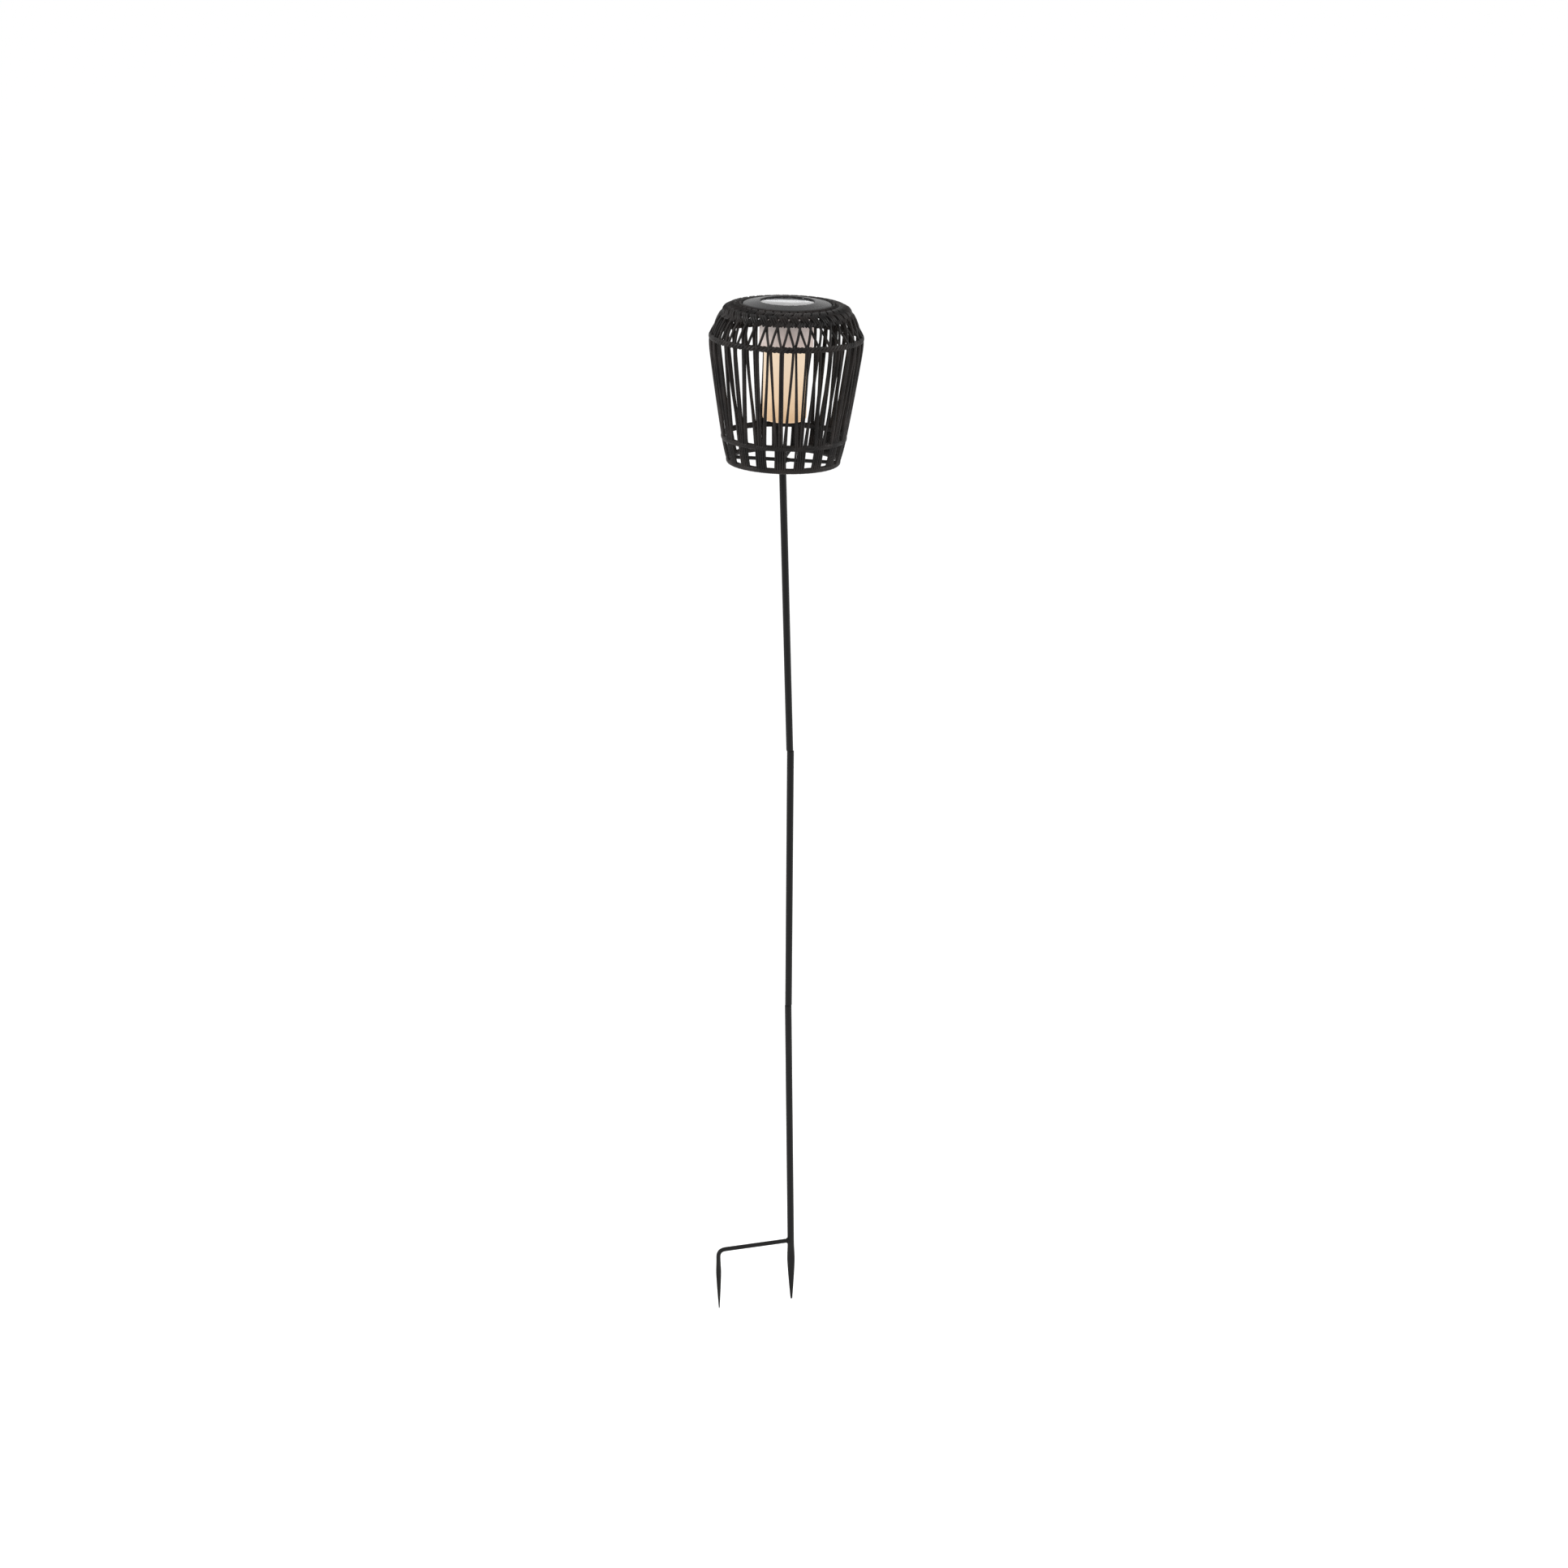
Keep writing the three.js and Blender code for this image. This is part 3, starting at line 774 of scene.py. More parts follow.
@dataclass(frozen=True)
class Blade:
    """How a round end is squeezed to a blade: half widths and half thicknesses in millimetres."""

    start: float
    widest: float
    tip: float
    flat: float
    tip_flat: float
    depth: float
    swell_share: float = 0.3

    def half_width(self, below: float) -> float:
        """Half the blade's width at a depth."""
        share = below / self.depth
        if share < self.swell_share:
            eased = share / self.swell_share
            return self.start + (self.widest - self.start) * eased * eased * (3 - 2 * eased)
        taper = ((share - self.swell_share) / (1 - self.swell_share)) ** 1.25
        return self.widest + (self.tip - self.widest) * taper

    def half_thickness(self, below: float) -> float:
        """Half the blade's thickness at a depth."""
        share = below / self.depth
        if share < self.swell_share:
            return self.start + (self.flat - self.start) * share / self.swell_share
        return self.flat + (self.tip_flat - self.flat) * (share - self.swell_share) / (1 - self.swell_share)

    def squeeze(self, points: Iterable[bmesh.types.BMVert], top: float) -> None:
        """Flattens the vertices that lie below a height, which are round about the axis."""
        for point in points:
            below = top - point.co.z
            if below > 0:
                point.co.x *= self.half_width(below) / self.start
                point.co.y *= self.half_thickness(below) / self.start


@dataclass
class Tube:
    """The steel tube that all the pole sections are made from."""

    radius: float = 4.1
    bore: float = 3.3
    spigot: float = 2.6
    spigot_bore: float = 1.8
    spigot_length: float = 26.0

    def section(self, length: float) -> bpy.types.Mesh:
        """A pole section: an open tube whose lower end is drawn down to a spigot.

        Args:
            length: from where it meets the tube below to its top.

        Returns:
            Its mesh.
        """
        profile = [
            (self.spigot_bore, -self.spigot_length),
            (self.spigot, -self.spigot_length),
            (self.spigot, 0),
            (self.radius - 0.3, 0),
            (self.radius, 0.9),
            (self.radius, length),
            (self.bore, length),
            (self.bore, 3),
            (self.spigot_bore, 1),
        ]
        return mesh_from(turned_shape(rounded(profile, 0.35, closed=True), 48, closed=True))


@dataclass
class Pole:
    """The two upper pole sections."""

    tube: Tube = field(default_factory=Tube)
    middle_length: float = 315.0
    upper_length: float = 340.0

    def build(self, finishes: Finishes) -> list[bpy.types.Object]:
        """Builds and dresses both sections."""
        sections = [
            ("middle_pole_coated", "middle_pole", self.middle_length, "upper_section_lift", Body.MIDDLE),
            ("upper_pole_coated", "upper_pole", self.upper_length, "lantern_lift", Body.UPPER),
        ]
        made = []
        for name, node, length, joint, body in sections:
            place = place_on_axis(node, (length - self.tube.spigot_length) / 2, joint)
            mesh = self.tube.section(length)
            made.append(finished_piece(name, mesh, place, body, finishes.coat, [node]))
        return made


@dataclass
class Stake:
    """The lowest tube with its blade, and the bent step arm that is welded to it."""

    tube: Tube = field(default_factory=Tube)
    top: float = 307.0
    blade: Blade = Blade(start=4.1, widest=4.7, tip=1.2, flat=1.5, tip_flat=0.7, depth=74.5)
    arm_radius: float = 2.65
    arm_reach: float = 91.4
    arm_angle: float = 197.0
    bend_radius: float = 9.0
    leg_depth: float = 73.5
    bead_radius: float = 0.85
    bead_ripples: int = 14
    bead_ripple: float = 0.16

    @property
    def place(self) -> Place:
        """The stake stands on the torch's own origin."""
        return Place(Vector((0, 0, 0)), joint_axis("middle_section_lift"))

    @property
    def arm_turn(self) -> Matrix:
        """The turn from +X to the arm's direction."""
        return Matrix.Rotation(math.radians(self.arm_angle), 4, "Z")

    def tube_mesh(self) -> bpy.types.Mesh:
        """The tube, open at the top and squeezed flat below the ground."""
        steps = 24
        outside = [(self.tube.radius, -self.blade.depth * (1 - i / steps)) for i in range(steps + 1)]
        mouth = [(self.tube.radius, self.top), (self.tube.bore, self.top), (self.tube.bore, 12), (0, 8)]
        shape = turned_shape([(0, -self.blade.depth), *outside, *mouth], 48)
        self.blade.squeeze(shape.verts, 0.0)
        return mesh_from(shape)

    def arm_path(self) -> list[Vector]:
        """The middle of the step arm, from the tube out to the bend and down the leg."""
        bend = self.bend_radius
        corner = Vector((0, 0, self.arm_radius))
        start, end = corner - Vector((bend, 0, 0)), corner - Vector((0, 0, bend))
        inner = Vector((self.tube.radius * 0.85 - self.arm_reach, 0, self.arm_radius))
        bent = [start.lerp(corner, i / 12).lerp(corner.lerp(end, i / 12), i / 12) for i in range(13)]
        leg = [end.lerp(Vector((0, 0, -self.leg_depth)), (i + 1) / 24) for i in range(24)]
        return [inner, inner.lerp(start, 0.5), *bent, *leg]

    def arm_mesh(self) -> bpy.types.Mesh:
        """The arm as one bent rod whose leg is squeezed to a point."""
        shape = bmesh.new()
        shape.from_mesh(swept([self.arm_path()], self.arm_radius, roundness=8))
        top = self.arm_radius - self.bend_radius
        depth = self.leg_depth + top
        leg = Blade(start=self.arm_radius, widest=3.3, tip=0.7, flat=1.2, tip_flat=0.5, depth=depth)
        leg.squeeze(shape.verts, top)
        bmesh.ops.translate(shape, verts=shape.verts, vec=(self.arm_reach, 0, 0))
        bmesh.ops.transform(shape, matrix=self.arm_turn, verts=shape.verts)
        return mesh_from(shape)

    def weld_mesh(self) -> bpy.types.Mesh:
        """The rippled bead where the arm meets the tube."""
        steps, proud = 44, 0.25
        reach = self.arm_radius + proud
        ring = []
        for i in range(steps):
            turn = 2 * math.pi * i / steps
            across = reach * math.cos(turn)
            out = math.sqrt(self.tube.radius**2 - across**2) + proud
            ring.append(self.arm_turn @ Vector((out, across, self.arm_radius + reach * math.sin(turn))))

        def ripple(share: float) -> float:
            return 1 + self.bead_ripple * math.sin(2 * math.pi * self.bead_ripples * share)

        return swept([ring], self.bead_radius, closed=True, roundness=4, swell=ripple)

    def build(self, finishes: Finishes) -> list[bpy.types.Object]:
        """Builds and dresses the stake's pieces."""
        pieces = [
            ("stake_tube_coated", self.tube_mesh(), ["stake_tube"]),
            ("step_arm_forged", self.arm_mesh(), ["step_arm"]),
            ("step_arm_weld", self.weld_mesh(), []),
        ]
        return [
            finished_piece(name, mesh, self.place, Body.STAKE, finishes.coat, nodes)
            for name, mesh, nodes in pieces
        ]


# ---------------------------------------------------------------- the basket


@dataclass(frozen=True)
class Skin:
    """The surface that the canes are woven on, from the collar's inner edge down to the foot."""

    outline: tuple[tuple[float, float], ...] = (
        (52, -2.5),
        (67.5, -5),
        (75.2, -14),
        (84.4, -32),
        (87.4, -46),
        (83.2, -80),
        (71.2, -154),
        (64.6, -182),
    )
    steps: int = 20

    @cached_property
    def points(self) -> list[Vector]:
        """The outline as close points on a smooth curve."""
        corners = [Vector(corner) for corner in self.outline]
        ends = [corners[0], *corners, corners[-1]]
        made = []
        for a, b, c, d in zip(ends, ends[1:], ends[2:], ends[3:]):
            for step in range(self.steps):
                t = step / self.steps
                bend = (2 * a - 5 * b + 4 * c - d) * t * t + (3 * b - a - 3 * c + d) * t**3
                made.append(0.5 * (2 * b + (c - a) * t + bend))
        return [*made, corners[-1]]

    @cached_property
    def lengths(self) -> list[float]:
        """How far each of those points lies along the outline."""
        made = [0.0]
        for before, after in zip(self.points, self.points[1:]):
            made.append(made[-1] + (after - before).length)
        return made

    def down_to(self, height: float) -> float:
        """How far along the outline a height lies."""
        for i, point in enumerate(self.points[1:]):
            if point.y <= height:
                before = self.points[i]
                share = (before.y - height) / (before.y - point.y)
                return self.lengths[i] + share * (self.lengths[i + 1] - self.lengths[i])
        return self.lengths[-1]

    def spot(self, angle: float, down: float, inset: float) -> Vector:
        """A point at an angle in plan, a length down the outline and a depth under the surface.

        Args:
            angle: in degrees from +X.
            down: the length along the outline, in millimetres.
            inset: the depth under the surface, in millimetres.

        Returns:
            The point in the lantern's own frame.
        """
        i = 0
        while i < len(self.lengths) - 2 and self.lengths[i + 1] < down:
            i += 1
        before, after = self.points[i], self.points[i + 1]
        share = (down - self.lengths[i]) / (self.lengths[i + 1] - self.lengths[i])
        on_skin = before.lerp(after, share)
        along = (after - before).normalized()
        inside = on_skin - Vector((-along.y, along.x)) * inset
        turn = math.radians(angle)
        return Vector((inside.x * math.cos(turn), inside.x * math.sin(turn), inside.y))


@dataclass(frozen=True)
class Twine:
    """Canes twisted round a hoop like a rope, with sizes in millimetres.

    Each of the strands winds round the hoop as many times as there are turns, and strays inwards and
    outwards by out, and up and down by up. samples is the number of stretches in a winding.
    """

    turns: int
    strand_radius: float
    strands: int
    out: float
    up: float
    samples: int = 9

    def mesh(self, radius: float, height: float, first_angle: float) -> bpy.types.Mesh:
        """The twine round one hoop.

        Args:
            radius: the radius of the hoop's middle.
            height: its height.
            first_angle: where the windings start, in degrees from +X.

        Returns:
            The mesh of all its canes.
        """
        steps = self.turns * self.samples
        paths = []
        for strand in range(self.strands):
            path = []
            for i in range(steps):
                around = math.radians(first_angle) + 2 * math.pi * i / steps
                wind = 2 * math.pi * (self.turns * i / steps + strand / self.strands)
                reach = radius + self.out * math.cos(wind)
                rise = height + self.up * math.sin(wind)
                path.append(Vector((reach * math.cos(around), reach * math.sin(around), rise)))
            paths.append(path)
        return swept(paths, self.strand_radius, closed=True)


@dataclass(frozen=True)
class FanLayer:
    """One layer of fan canes.

    Each ends foot_place cane widths from a rib's middle and starts inset millimetres under the skin.
    It parts from its twin the later the higher bend is, and 1 is a straight line.
    """

    foot_place: float
    inset: float
    bend: float


@dataclass
class Basket:
    """The woven basket: collar, open lattice, ribs, fans and the three bound hoops."""

    skin: Skin = field(default_factory=Skin)
    ribs: int = 19
    first_rib: float = -93.3
    rib_places: tuple[float, ...] = (-0.5, 0.5)
    post_places: tuple[float, ...] = (-2.0, -1.0, 0.0, 1.0, 2.0)
    rib_cane_radius: float = 1.32
    rib_depth: float = 0.5
    fan_start: float = 0.95
    fan_layers: tuple[FanLayer, ...] = (FanLayer(1.5, 1.9, 1.45), FanLayer(2.35, 4.4, 1.1))
    cane_radius: float = 1.45
    weave_depth: float = 1.15
    lattice_lean: float = 5.2
    collar_lean: float = 13.0
    collar_bundle: int = 3
    collar_spread: float = 2.3
    collar_cane_radius: float = 1.6
    collar_start: float = 2.6
    collar_edge: float = -14.0
    collar_lap: float = 1.5
    shoulder: float = -40.4
    lower_hoop: float = -153.6
    foot: float = -180.5
    shoulder_twine: Twine = Twine(turns=38, strand_radius=1.7, strands=3, out=0.9, up=2.0)
    lower_twine: Twine = Twine(turns=50, strand_radius=1.7, strands=4, out=0.9, up=1.8)
    foot_twine: Twine = Twine(turns=46, strand_radius=1.75, strands=4, out=1.0, up=1.75)
    edging: Twine = Twine(turns=110, strand_radius=0.85, strands=2, out=0.8, up=0.8, samples=7)
    edging_radius: float = 52.4
    edging_height: float = -3.7
    lens_middle: float = -2.1

    def __post_init__(self) -> None:
        """Starts the random order that the canes' small wanderings come from."""
        self.chance = random.Random(SEED)

    @property
    def place(self) -> Place:
        """The lantern's frame: heights run down from the top of the solar module."""
        return place_on_axis("panel_lens", self.lens_middle, "solar_module_lift")

    @property
    def nodes(self) -> int:
        """How many places round the shoulder canes are bound at."""
        return 2 * self.ribs

    @property
    def pitch(self) -> float:
        """The angle between those places."""
        return 360 / self.nodes

    def cane(self, angle: Callable[[float], float], down: Callable[[float], float],
             inset: Callable[[float], float], steps: int, wander: float = 0.18) -> list[Vector]:
        """One cane's path on the skin, by the share of its length.

        Args:
            angle: its angle in plan, in degrees.
            down: its length down the outline.
            inset: its depth under the skin.
            steps: how many stretches it has.
            wander: how far it strays from its true line, in degrees.

        Returns:
            The points of its middle.
        """
        phase, size = self.chance.uniform(0, 6.3), self.chance.uniform(0.3, 1) * wander
        points = []
        for i in range(steps + 1):
            share = i / steps
            stray = size * math.sin(phase + 4.4 * share) * math.sin(math.pi * share)
            points.append(self.skin.spot(angle(share) + stray, down(share), inset(share)))
        return points

    def weave_inset(self, lean: float, direction: int) -> float:
        """The depth of a slanting cane that passes over and under those that it crosses."""
        crossing = lean / (self.pitch / 2) - 1
        sway = direction * self.weave_depth * math.cos(math.pi * crossing)
        return self.cane_radius + self.weave_depth - sway

    def slanting_cane(self, node: int, direction: int, low_lean: float, high_lean: float, low: float,
                      high: float, aside: float = 0.0, steps: int = 12) -> list[Vector]:
        """A cane that leans away from its place on the shoulder as it rises.

        Args:
            node: the number of that place.
            direction: 1 to the right and -1 to the left.
            low_lean: its lean at its lower end, in degrees.
            high_lean: its lean at its upper end.
            low: where its lower end lies down the outline.
            high: where its upper end lies.
            aside: how far it lies beside its bundle's middle, in degrees.
            steps: how many stretches it has.

        Returns:
            The points of its middle.
        """
        start = self.first_rib + node * self.pitch + aside

        def lean(share: float) -> float:
            return low_lean + (high_lean - low_lean) * share

        return self.cane(
            lambda share: start + direction * lean(share),
            lambda share: low + (high - low) * share,
            lambda share: self.weave_inset(lean(share), direction),
            steps,
        )

    def lattice(self) -> bpy.types.Mesh:
        """The open crossings between the shoulder and the collar."""
        low, high = self.skin.down_to(self.shoulder), self.skin.down_to(self.collar_edge)
        paths = [
            self.slanting_cane(node, direction, 0, self.lattice_lean, low, high)
            for node in range(self.nodes)
            for direction in (-1, 1)
        ]
        return swept(paths, self.cane_radius)

    def collar(self) -> bpy.types.Mesh:
        """The close weave round the top: bundles of canes that pass over and under each other."""
        low, high = self.skin.down_to(self.collar_edge - self.collar_lap), self.collar_start
        top_lean = self.lattice_lean + self.collar_lean
        paths = []
        for node in range(self.nodes):
            for direction in (-1, 1):
                for member in range(self.collar_bundle):
                    aside = (member - (self.collar_bundle - 1) / 2) * self.collar_spread
                    paths.append(
                        self.slanting_cane(node, direction, self.lattice_lean, top_lean, low, high, aside, 14)
                    )
        return swept(paths, self.collar_cane_radius, roundness=1)

    def bound_hoop(self, height: float, twine: Twine) -> bpy.types.Mesh:
        """A twined hoop whose outer face lies on the skin."""
        on_skin = self.skin.spot(0, self.skin.down_to(height), 0).x
        return twine.mesh(on_skin - twine.out - twine.strand_radius, height, self.first_rib)

    def beside(self, place: float, down: float) -> float:
        """The angle that canes lying side by side take up.

        Args:
            place: how many cane widths from the bundle's middle.
            down: the length down the outline, where the skin is wider or narrower.

        Returns:
            The angle from the bundle's middle, in degrees.
        """
        return math.degrees(place * 2 * self.rib_cane_radius / self.skin.spot(0, down, 0).x)

    def bundle(self, number: int, places: Sequence[float], top: float, bottom: float) -> list[list[Vector]]:
        """Canes side by side down the skin at one rib, between two heights."""
        angle = self.first_rib + number * 360 / self.ribs
        low, high = self.skin.down_to(bottom), self.skin.down_to(top)
        return [
            self.cane(
                lambda share, p=place: angle + self.beside(p, high + (low - high) * share),
                lambda share: high + (low - high) * share,
                lambda share: self.rib_cane_radius + self.rib_depth,
                16,
                0.12,
            )
            for place in places
        ]

    def fan_cane(self, number: int, side: int, layer: FanLayer) -> list[Vector]:
        """A cane that parts from its twin midway between two ribs and ends beside one of them.

        Args:
            number: the number of the rib before it.
            side: 1 to the right and -1 to the left.
            layer: the layer that it belongs to.

        Returns:
            The points of its middle.
        """
        low, high = self.skin.down_to(self.lower_hoop), self.skin.down_to(self.shoulder)
        half = 180 / self.ribs
        middle = self.first_rib + (number + 0.5) * 360 / self.ribs

        def down(share: float) -> float:
            return high + (low - high) * share

        def angle(share: float) -> float:
            foot = half - self.beside(layer.foot_place, down(share))
            return middle + side * (self.fan_start + (foot - self.fan_start) * share**layer.bend)

        def depth(share: float) -> float:
            return layer.inset + (self.rib_cane_radius + self.rib_depth - layer.inset) * share

        return self.cane(angle, down, depth, 22, 0.25)

    def fans(self) -> bpy.types.Mesh:
        """All the canes that fan out from the places midway between the ribs."""
        paths = [
            self.fan_cane(number, side, layer)
            for number in range(self.ribs)
            for side in (-1, 1)
            for layer in self.fan_layers
        ]
        return swept(paths, self.rib_cane_radius)

    def collar_edging(self) -> bpy.types.Mesh:
        """The thin twine that binds the collar's inner edge."""
        return self.edging.mesh(self.edging_radius, self.edging_height, self.first_rib)

    def foot_mesh(self) -> bpy.types.Mesh:
        """The foot hoop with the rib ends that carry it."""
        shape = bmesh.new()
        shape.from_mesh(self.bound_hoop(self.foot, self.foot_twine))
        for number in range(self.ribs):
            posts = self.bundle(number, self.post_places, self.lower_hoop + 1, self.foot)
            shape.from_mesh(swept(posts, self.rib_cane_radius))
        mesh = bpy.data.meshes.new("foot")
        shape.to_mesh(mesh)
        shape.free()
        return mesh

    def build(self, finishes: Finishes) -> list[bpy.types.Object]:
        """Builds and dresses the basket."""
        made = [
            ("collar_strands", self.collar(), ["collar_weave"]),
            ("collar_edging", self.collar_edging(), []),
            ("lattice_canes", self.lattice(), ["shoulder_canes"]),
            ("shoulder_twine", self.bound_hoop(self.shoulder, self.shoulder_twine), ["shoulder_hoop"]),
            ("fan_strands", self.fans(), ["fan_canes"]),
            ("lower_twine", self.bound_hoop(self.lower_hoop, self.lower_twine), ["lower_hoop"]),
            ("foot_twine", self.foot_mesh(), ["foot_hoop"]),
        ]
        for number in range(self.ribs):
            name = f"rib_{number + 1:02d}"
            pair = self.bundle(number, self.rib_places, self.shoulder + 1, self.lower_hoop)
            made.append((f"{name}_pair", swept(pair, self.rib_cane_radius), [name]))
        return [
            finished_piece(name, mesh, self.place, Body.LANTERN, finishes.cane, nodes)
            for name, mesh, nodes in made
        ]


@dataclass
class WireFrame:
    """The coated wires inside the basket: two hoops, four spokes and the hub with its pin."""

    place: Place
    skin: Skin = field(default_factory=Skin)
    foot: float = -180.5
    lantern_height: float = 184.0
    stem_length: float = 20.0
    hub_radius: float = 4.5
    pin_radius: float = 2.6
    spokes: int = 4
    spoke_radius: float = 2.1
    first_spoke: float = -8.0
    spoke_short: float = 3.4
    spoke_lap: float = 0.3
    weld_swell: float = 0.3
    rim: tuple[float, float, float] = (48.6, 1.6, -7.4)
    collar: tuple[float, float, float] = (69.4, 1.5, -15.0)

    def hoop(self, radius: float, wire: float, height: float) -> bpy.types.Mesh:
        """A closed hoop of round wire, from its own radius, the wire's radius and its height."""
        section = [
            (radius + wire * math.cos(math.pi * i / 6), height + wire * math.sin(math.pi * i / 6))
            for i in range(12)
        ]
        return mesh_from(turned_shape(section, 96, closed=True))

    def stem(self) -> bpy.types.Mesh:
        """The hub, drawn down to the pin that plugs into the pole."""
        tip = -self.lantern_height - self.stem_length
        profile = [
            (0, tip),
            (self.pin_radius, tip),
            (self.pin_radius, -self.lantern_height),
            (self.hub_radius, -self.lantern_height),
            (self.hub_radius, self.foot + 4),
            (0, self.foot + 4),
        ]
        return mesh_from(turned_shape(rounded(profile, 0.8, 4), 40))

    def spoke(self, number: int) -> bpy.types.Mesh:
        """A straight wire from the hub to the foot hoop, swollen by a weld at each end."""
        turn = math.radians(self.first_spoke + 360 / self.spokes * number)
        outer = self.skin.spot(0, self.skin.down_to(self.foot), 0).x - self.spoke_short
        inner = self.hub_radius - self.spoke_lap
        steps = 40
        path = [
            Vector((math.cos(turn), math.sin(turn), 0)) * (inner + (outer - inner) * i / steps)
            + Vector((0, 0, self.foot))
            for i in range(steps + 1)
        ]

        def weld(share: float) -> float:
            near_end = max(0.0, 1 - 18 * min(share, 1 - share))
            return 1 + self.weld_swell * near_end**0.5

        return swept([path], self.spoke_radius, roundness=5, swell=weld)

    def build(self, finishes: Finishes) -> list[bpy.types.Object]:
        """Builds and dresses the wires."""
        made = [
            ("rim_hoop_wire", self.hoop(*self.rim), Slot.FRAME_WIRE, finishes.wire, ["rim_hoop"]),
            ("collar_hoop_wire", self.hoop(*self.collar), Slot.FRAME_WIRE, finishes.wire, ["collar_hoop"]),
            ("pole_stem_turned", self.stem(), Slot.POLE_COAT, finishes.coat, ["pole_stem"]),
        ]
        for number in range(self.spokes):
            node = f"base_spoke_{number + 1}"
            made.append((f"{node}_wire", self.spoke(number), Slot.FRAME_WIRE, finishes.wire, [node]))
        return [
            finished_piece(name, mesh, self.place, Body.LANTERN, finish, nodes)
            for name, mesh, slot, finish, nodes in made
        ]


# ---------------------------------------------------------------- the solar module


@dataclass
class SolarModule:
    """The module that lifts out of the basket: bezel, lens, housing and glow tube."""

    place: Place
    bezel_radius: float = 50.2
    bezel_bottom: float = -5.4
    crown_inner: float = 32.4
    crown_outer: float = 48.4
    crown_fall: float = 2.6
    lens_radius: float = 30.2
    lens_thickness: float = 1.8
    lens_recess: float = 1.2
    ledge: float = -4.3
    ledge_radius: float = 27.6
    gap: float = 0.3
    housing_bottom: float = -53.0
    candle_radius: float = 24.8
    candle_wall: float = 1.4
    candle_bottom: float = -134.7
    candle_round: float = 5.0

    def bezel(self) -> bpy.types.Mesh:
        """The ring round the lens, with a crowned top and a rounded rim."""
        opening = self.lens_radius + self.gap
        profile = [
            (self.ledge_radius, self.bezel_bottom),
            (self.bezel_radius, self.bezel_bottom),
            (self.bezel_radius, -self.crown_fall - 1),
            (self.crown_outer, -self.crown_fall),
            (self.crown_inner, 0),
            (opening, 0),
            (opening, self.ledge),
            (self.ledge_radius, self.ledge),
        ]
        return mesh_from(turned_shape(rounded(profile, 0.7, 3, closed=True), 120, closed=True))

    def lens(self) -> bpy.types.Mesh:
        """The clear disc over the cell."""
        top, bottom = -self.lens_recess, -self.lens_recess - self.lens_thickness
        profile = [(0, bottom), (self.lens_radius, bottom), (self.lens_radius, top), (0, top)]
        return mesh_from(turned_shape(rounded(profile, 0.4), 120))

    def candle(self) -> bpy.types.Mesh:
        """The glow tube: open at the top, with a rounded closed end."""
        top = self.housing_bottom - self.gap
        middle = self.candle_bottom + self.candle_round
        corner = self.candle_radius - self.candle_round

        def end(radius: float) -> list[tuple[float, float]]:
            turns = [math.pi / 2 * i / 8 for i in range(9)]
            return [(corner + radius * math.sin(turn), middle - radius * math.cos(turn)) for turn in turns]

        inner_round = self.candle_round - self.candle_wall
        profile = [
            (0, self.candle_bottom),
            *end(self.candle_round),
            (self.candle_radius, top),
            (self.candle_radius - self.candle_wall, top),
            *reversed(end(inner_round)),
            (0, self.candle_bottom + self.candle_wall),
        ]
        return mesh_from(turned_shape(profile, 80))

    def dress(self, finishes: Finishes) -> None:
        """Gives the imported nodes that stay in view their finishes."""
        worn_by = {
            "lens_gasket": finishes.rubber,
            "solar_cell": finishes.silicon,
            "cell_tray": finishes.tray,
            "module_housing": finishes.housing,
            "housing_screw_1": finishes.nickel,
            "housing_screw_2": finishes.nickel,
            "housing_screw_3": finishes.nickel,
            "battery": finishes.battery,
            "battery_spring": finishes.nickel,
            "battery_plate": finishes.nickel,
            "circuit_board": finishes.board,
            "led_lamp": finishes.resin,
            "switch_body": finishes.rubber,
            "switch_slider": finishes.rubber,
        }
        for node, finish in worn_by.items():
            slots = frame["nodes"][node].data.materials
            slots.clear()
            slots.append(finish)

    def build(self, finishes: Finishes) -> list[bpy.types.Object]:
        """Builds and dresses the module."""
        self.dress(finishes)
        pieces = [
            ("bezel_moulded", self.bezel(), Slot.BLACK_PLASTIC, finishes.bezel, ["bezel_ring"]),
            ("lens_clear", self.lens(), Slot.CLEAR_LENS, finishes.lens, ["panel_lens"]),
            ("candle_frosted", self.candle(), Slot.FROSTED_PLASTIC, finishes.glow, ["candle_tube"]),
        ]
        return [
            finished_piece(name, mesh, self.place, Body.MODULE, finish, nodes)
            for name, mesh, slot, finish, nodes in pieces
        ]


# ---------------------------------------------------------------- floor, light and camera


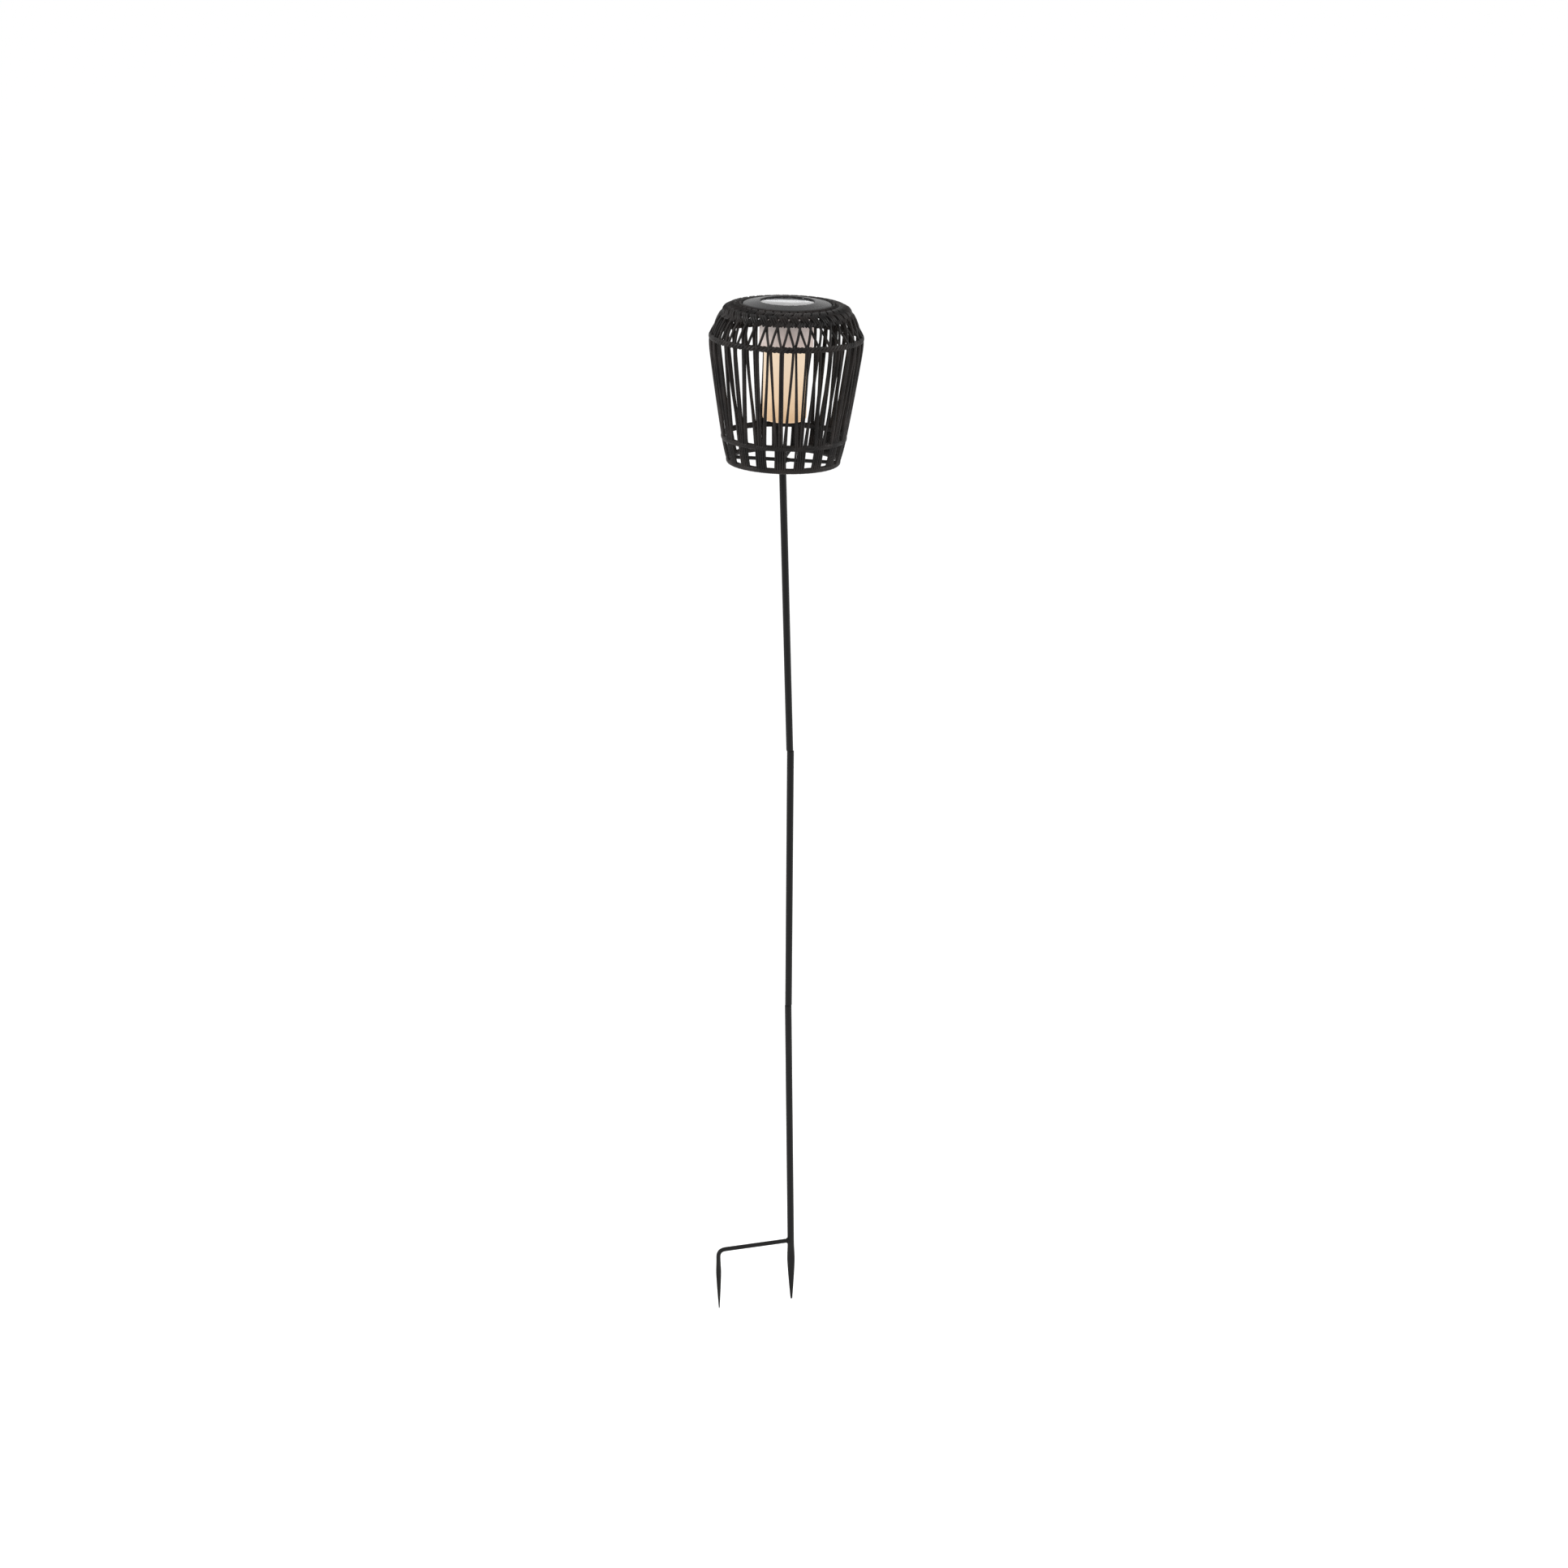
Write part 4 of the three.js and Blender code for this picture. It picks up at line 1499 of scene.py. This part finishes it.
@dataclass
class Studio:
    """A pale floor, soft light all round and the camera."""

    floor_colour: Colour = (0.9, 0.9, 0.9)
    floor_size: float = 60.0
    sky_strength: float = 1.12
    camera_place: Vector = field(default_factory=lambda: Vector((-0.0082, -3.908, 1.8067)))
    camera_pitch: float = 72.6
    lens: float = 80.85
    softbox_size: float = 1.6
    softboxes: tuple[tuple[str, Spot, float], ...] = (
        ("key_softbox", (-2.9, -0.7, 1.6), 75),
        ("fill_softbox", (2.9, -0.5, 1.3), 50),
    )

    def floor(self, height: float) -> None:
        """Lays the floor at a height."""
        shape = bmesh.new()
        bmesh.ops.create_grid(shape, x_segments=8, y_segments=8, size=self.floor_size)
        bmesh.ops.translate(shape, verts=shape.verts, vec=(0, 0, height))
        mesh = bpy.data.meshes.new("studio_floor")
        shape.to_mesh(mesh)
        shape.free()
        recipe = Recipe("studio_floor_paint")
        grain = recipe.speckle(40, 2)
        shade = tuple(channel * 0.985 for channel in self.floor_colour)
        recipe.set(Base_Color=recipe.blend(grain, self.floor_colour, shade), Roughness=0.9,
                   Specular_IOR_Level=0.0)
        mesh.materials.append(recipe.material)
        floor = bpy.data.objects.new("studio_floor", mesh)
        bpy.context.scene.collection.objects.link(floor)
        floor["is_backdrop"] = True

    def sky(self) -> None:
        """Fills the room with even white light."""
        world = bpy.data.worlds.new("studio_sky")
        world.use_nodes = True
        background = world.node_tree.nodes["Background"]
        background.inputs["Color"].default_value = (1, 1, 1, 1)
        background.inputs["Strength"].default_value = self.sky_strength
        bpy.context.scene.world = world

    def softbox(self, name: str, place: Vector, target: Vector, power: float) -> None:
        """Hangs a large soft lamp of some watts that faces a target."""
        lamp = bpy.data.lights.new(name, "AREA")
        lamp.shape = "DISK"
        lamp.size = self.softbox_size
        lamp.energy = power
        holder = bpy.data.objects.new(name, lamp)
        holder.location = place
        holder.rotation_euler = (target - place).to_track_quat("-Z", "Y").to_euler()
        bpy.context.scene.collection.objects.link(holder)

    def camera(self) -> None:
        """Sets the camera up."""
        eye = bpy.data.cameras.new("torch_camera")
        eye.sensor_width = 36
        eye.lens = self.lens
        eye.clip_end = 200
        holder = bpy.data.objects.new("torch_camera", eye)
        holder.location = self.camera_place
        holder.rotation_euler = (math.radians(self.camera_pitch), 0, 0)
        bpy.context.scene.collection.objects.link(holder)
        bpy.context.scene.camera = holder

    def build(self) -> None:
        """Sets the whole studio up round the torch."""
        low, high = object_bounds()
        middle = (low + high) / 2
        self.camera()
        self.sky()
        self.floor(low.z - 0.0002)
        for name, away, power in self.softboxes:
            self.softbox(name, middle + Vector(away), middle, power)
        bpy.context.scene.view_settings.view_transform = "Standard"


# ---------------------------------------------------------------- the whole torch


def main() -> None:
    """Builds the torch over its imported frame, part by part."""
    logging.basicConfig(level=logging.INFO, format="%(name)s: %(message)s")
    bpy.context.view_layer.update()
    finishes = make_finishes()
    studio = Studio()
    studio.build()
    basket = Basket()
    parts = [Stake(), Pole(), WireFrame(basket.place), basket, SolarModule(basket.place)]
    for part in parts:
        for piece in part.build(finishes):
            log.info("%s: %s with %d faces", type(part).__name__, piece.name, len(piece.data.polygons))


if __name__ == "__main__":
    main()
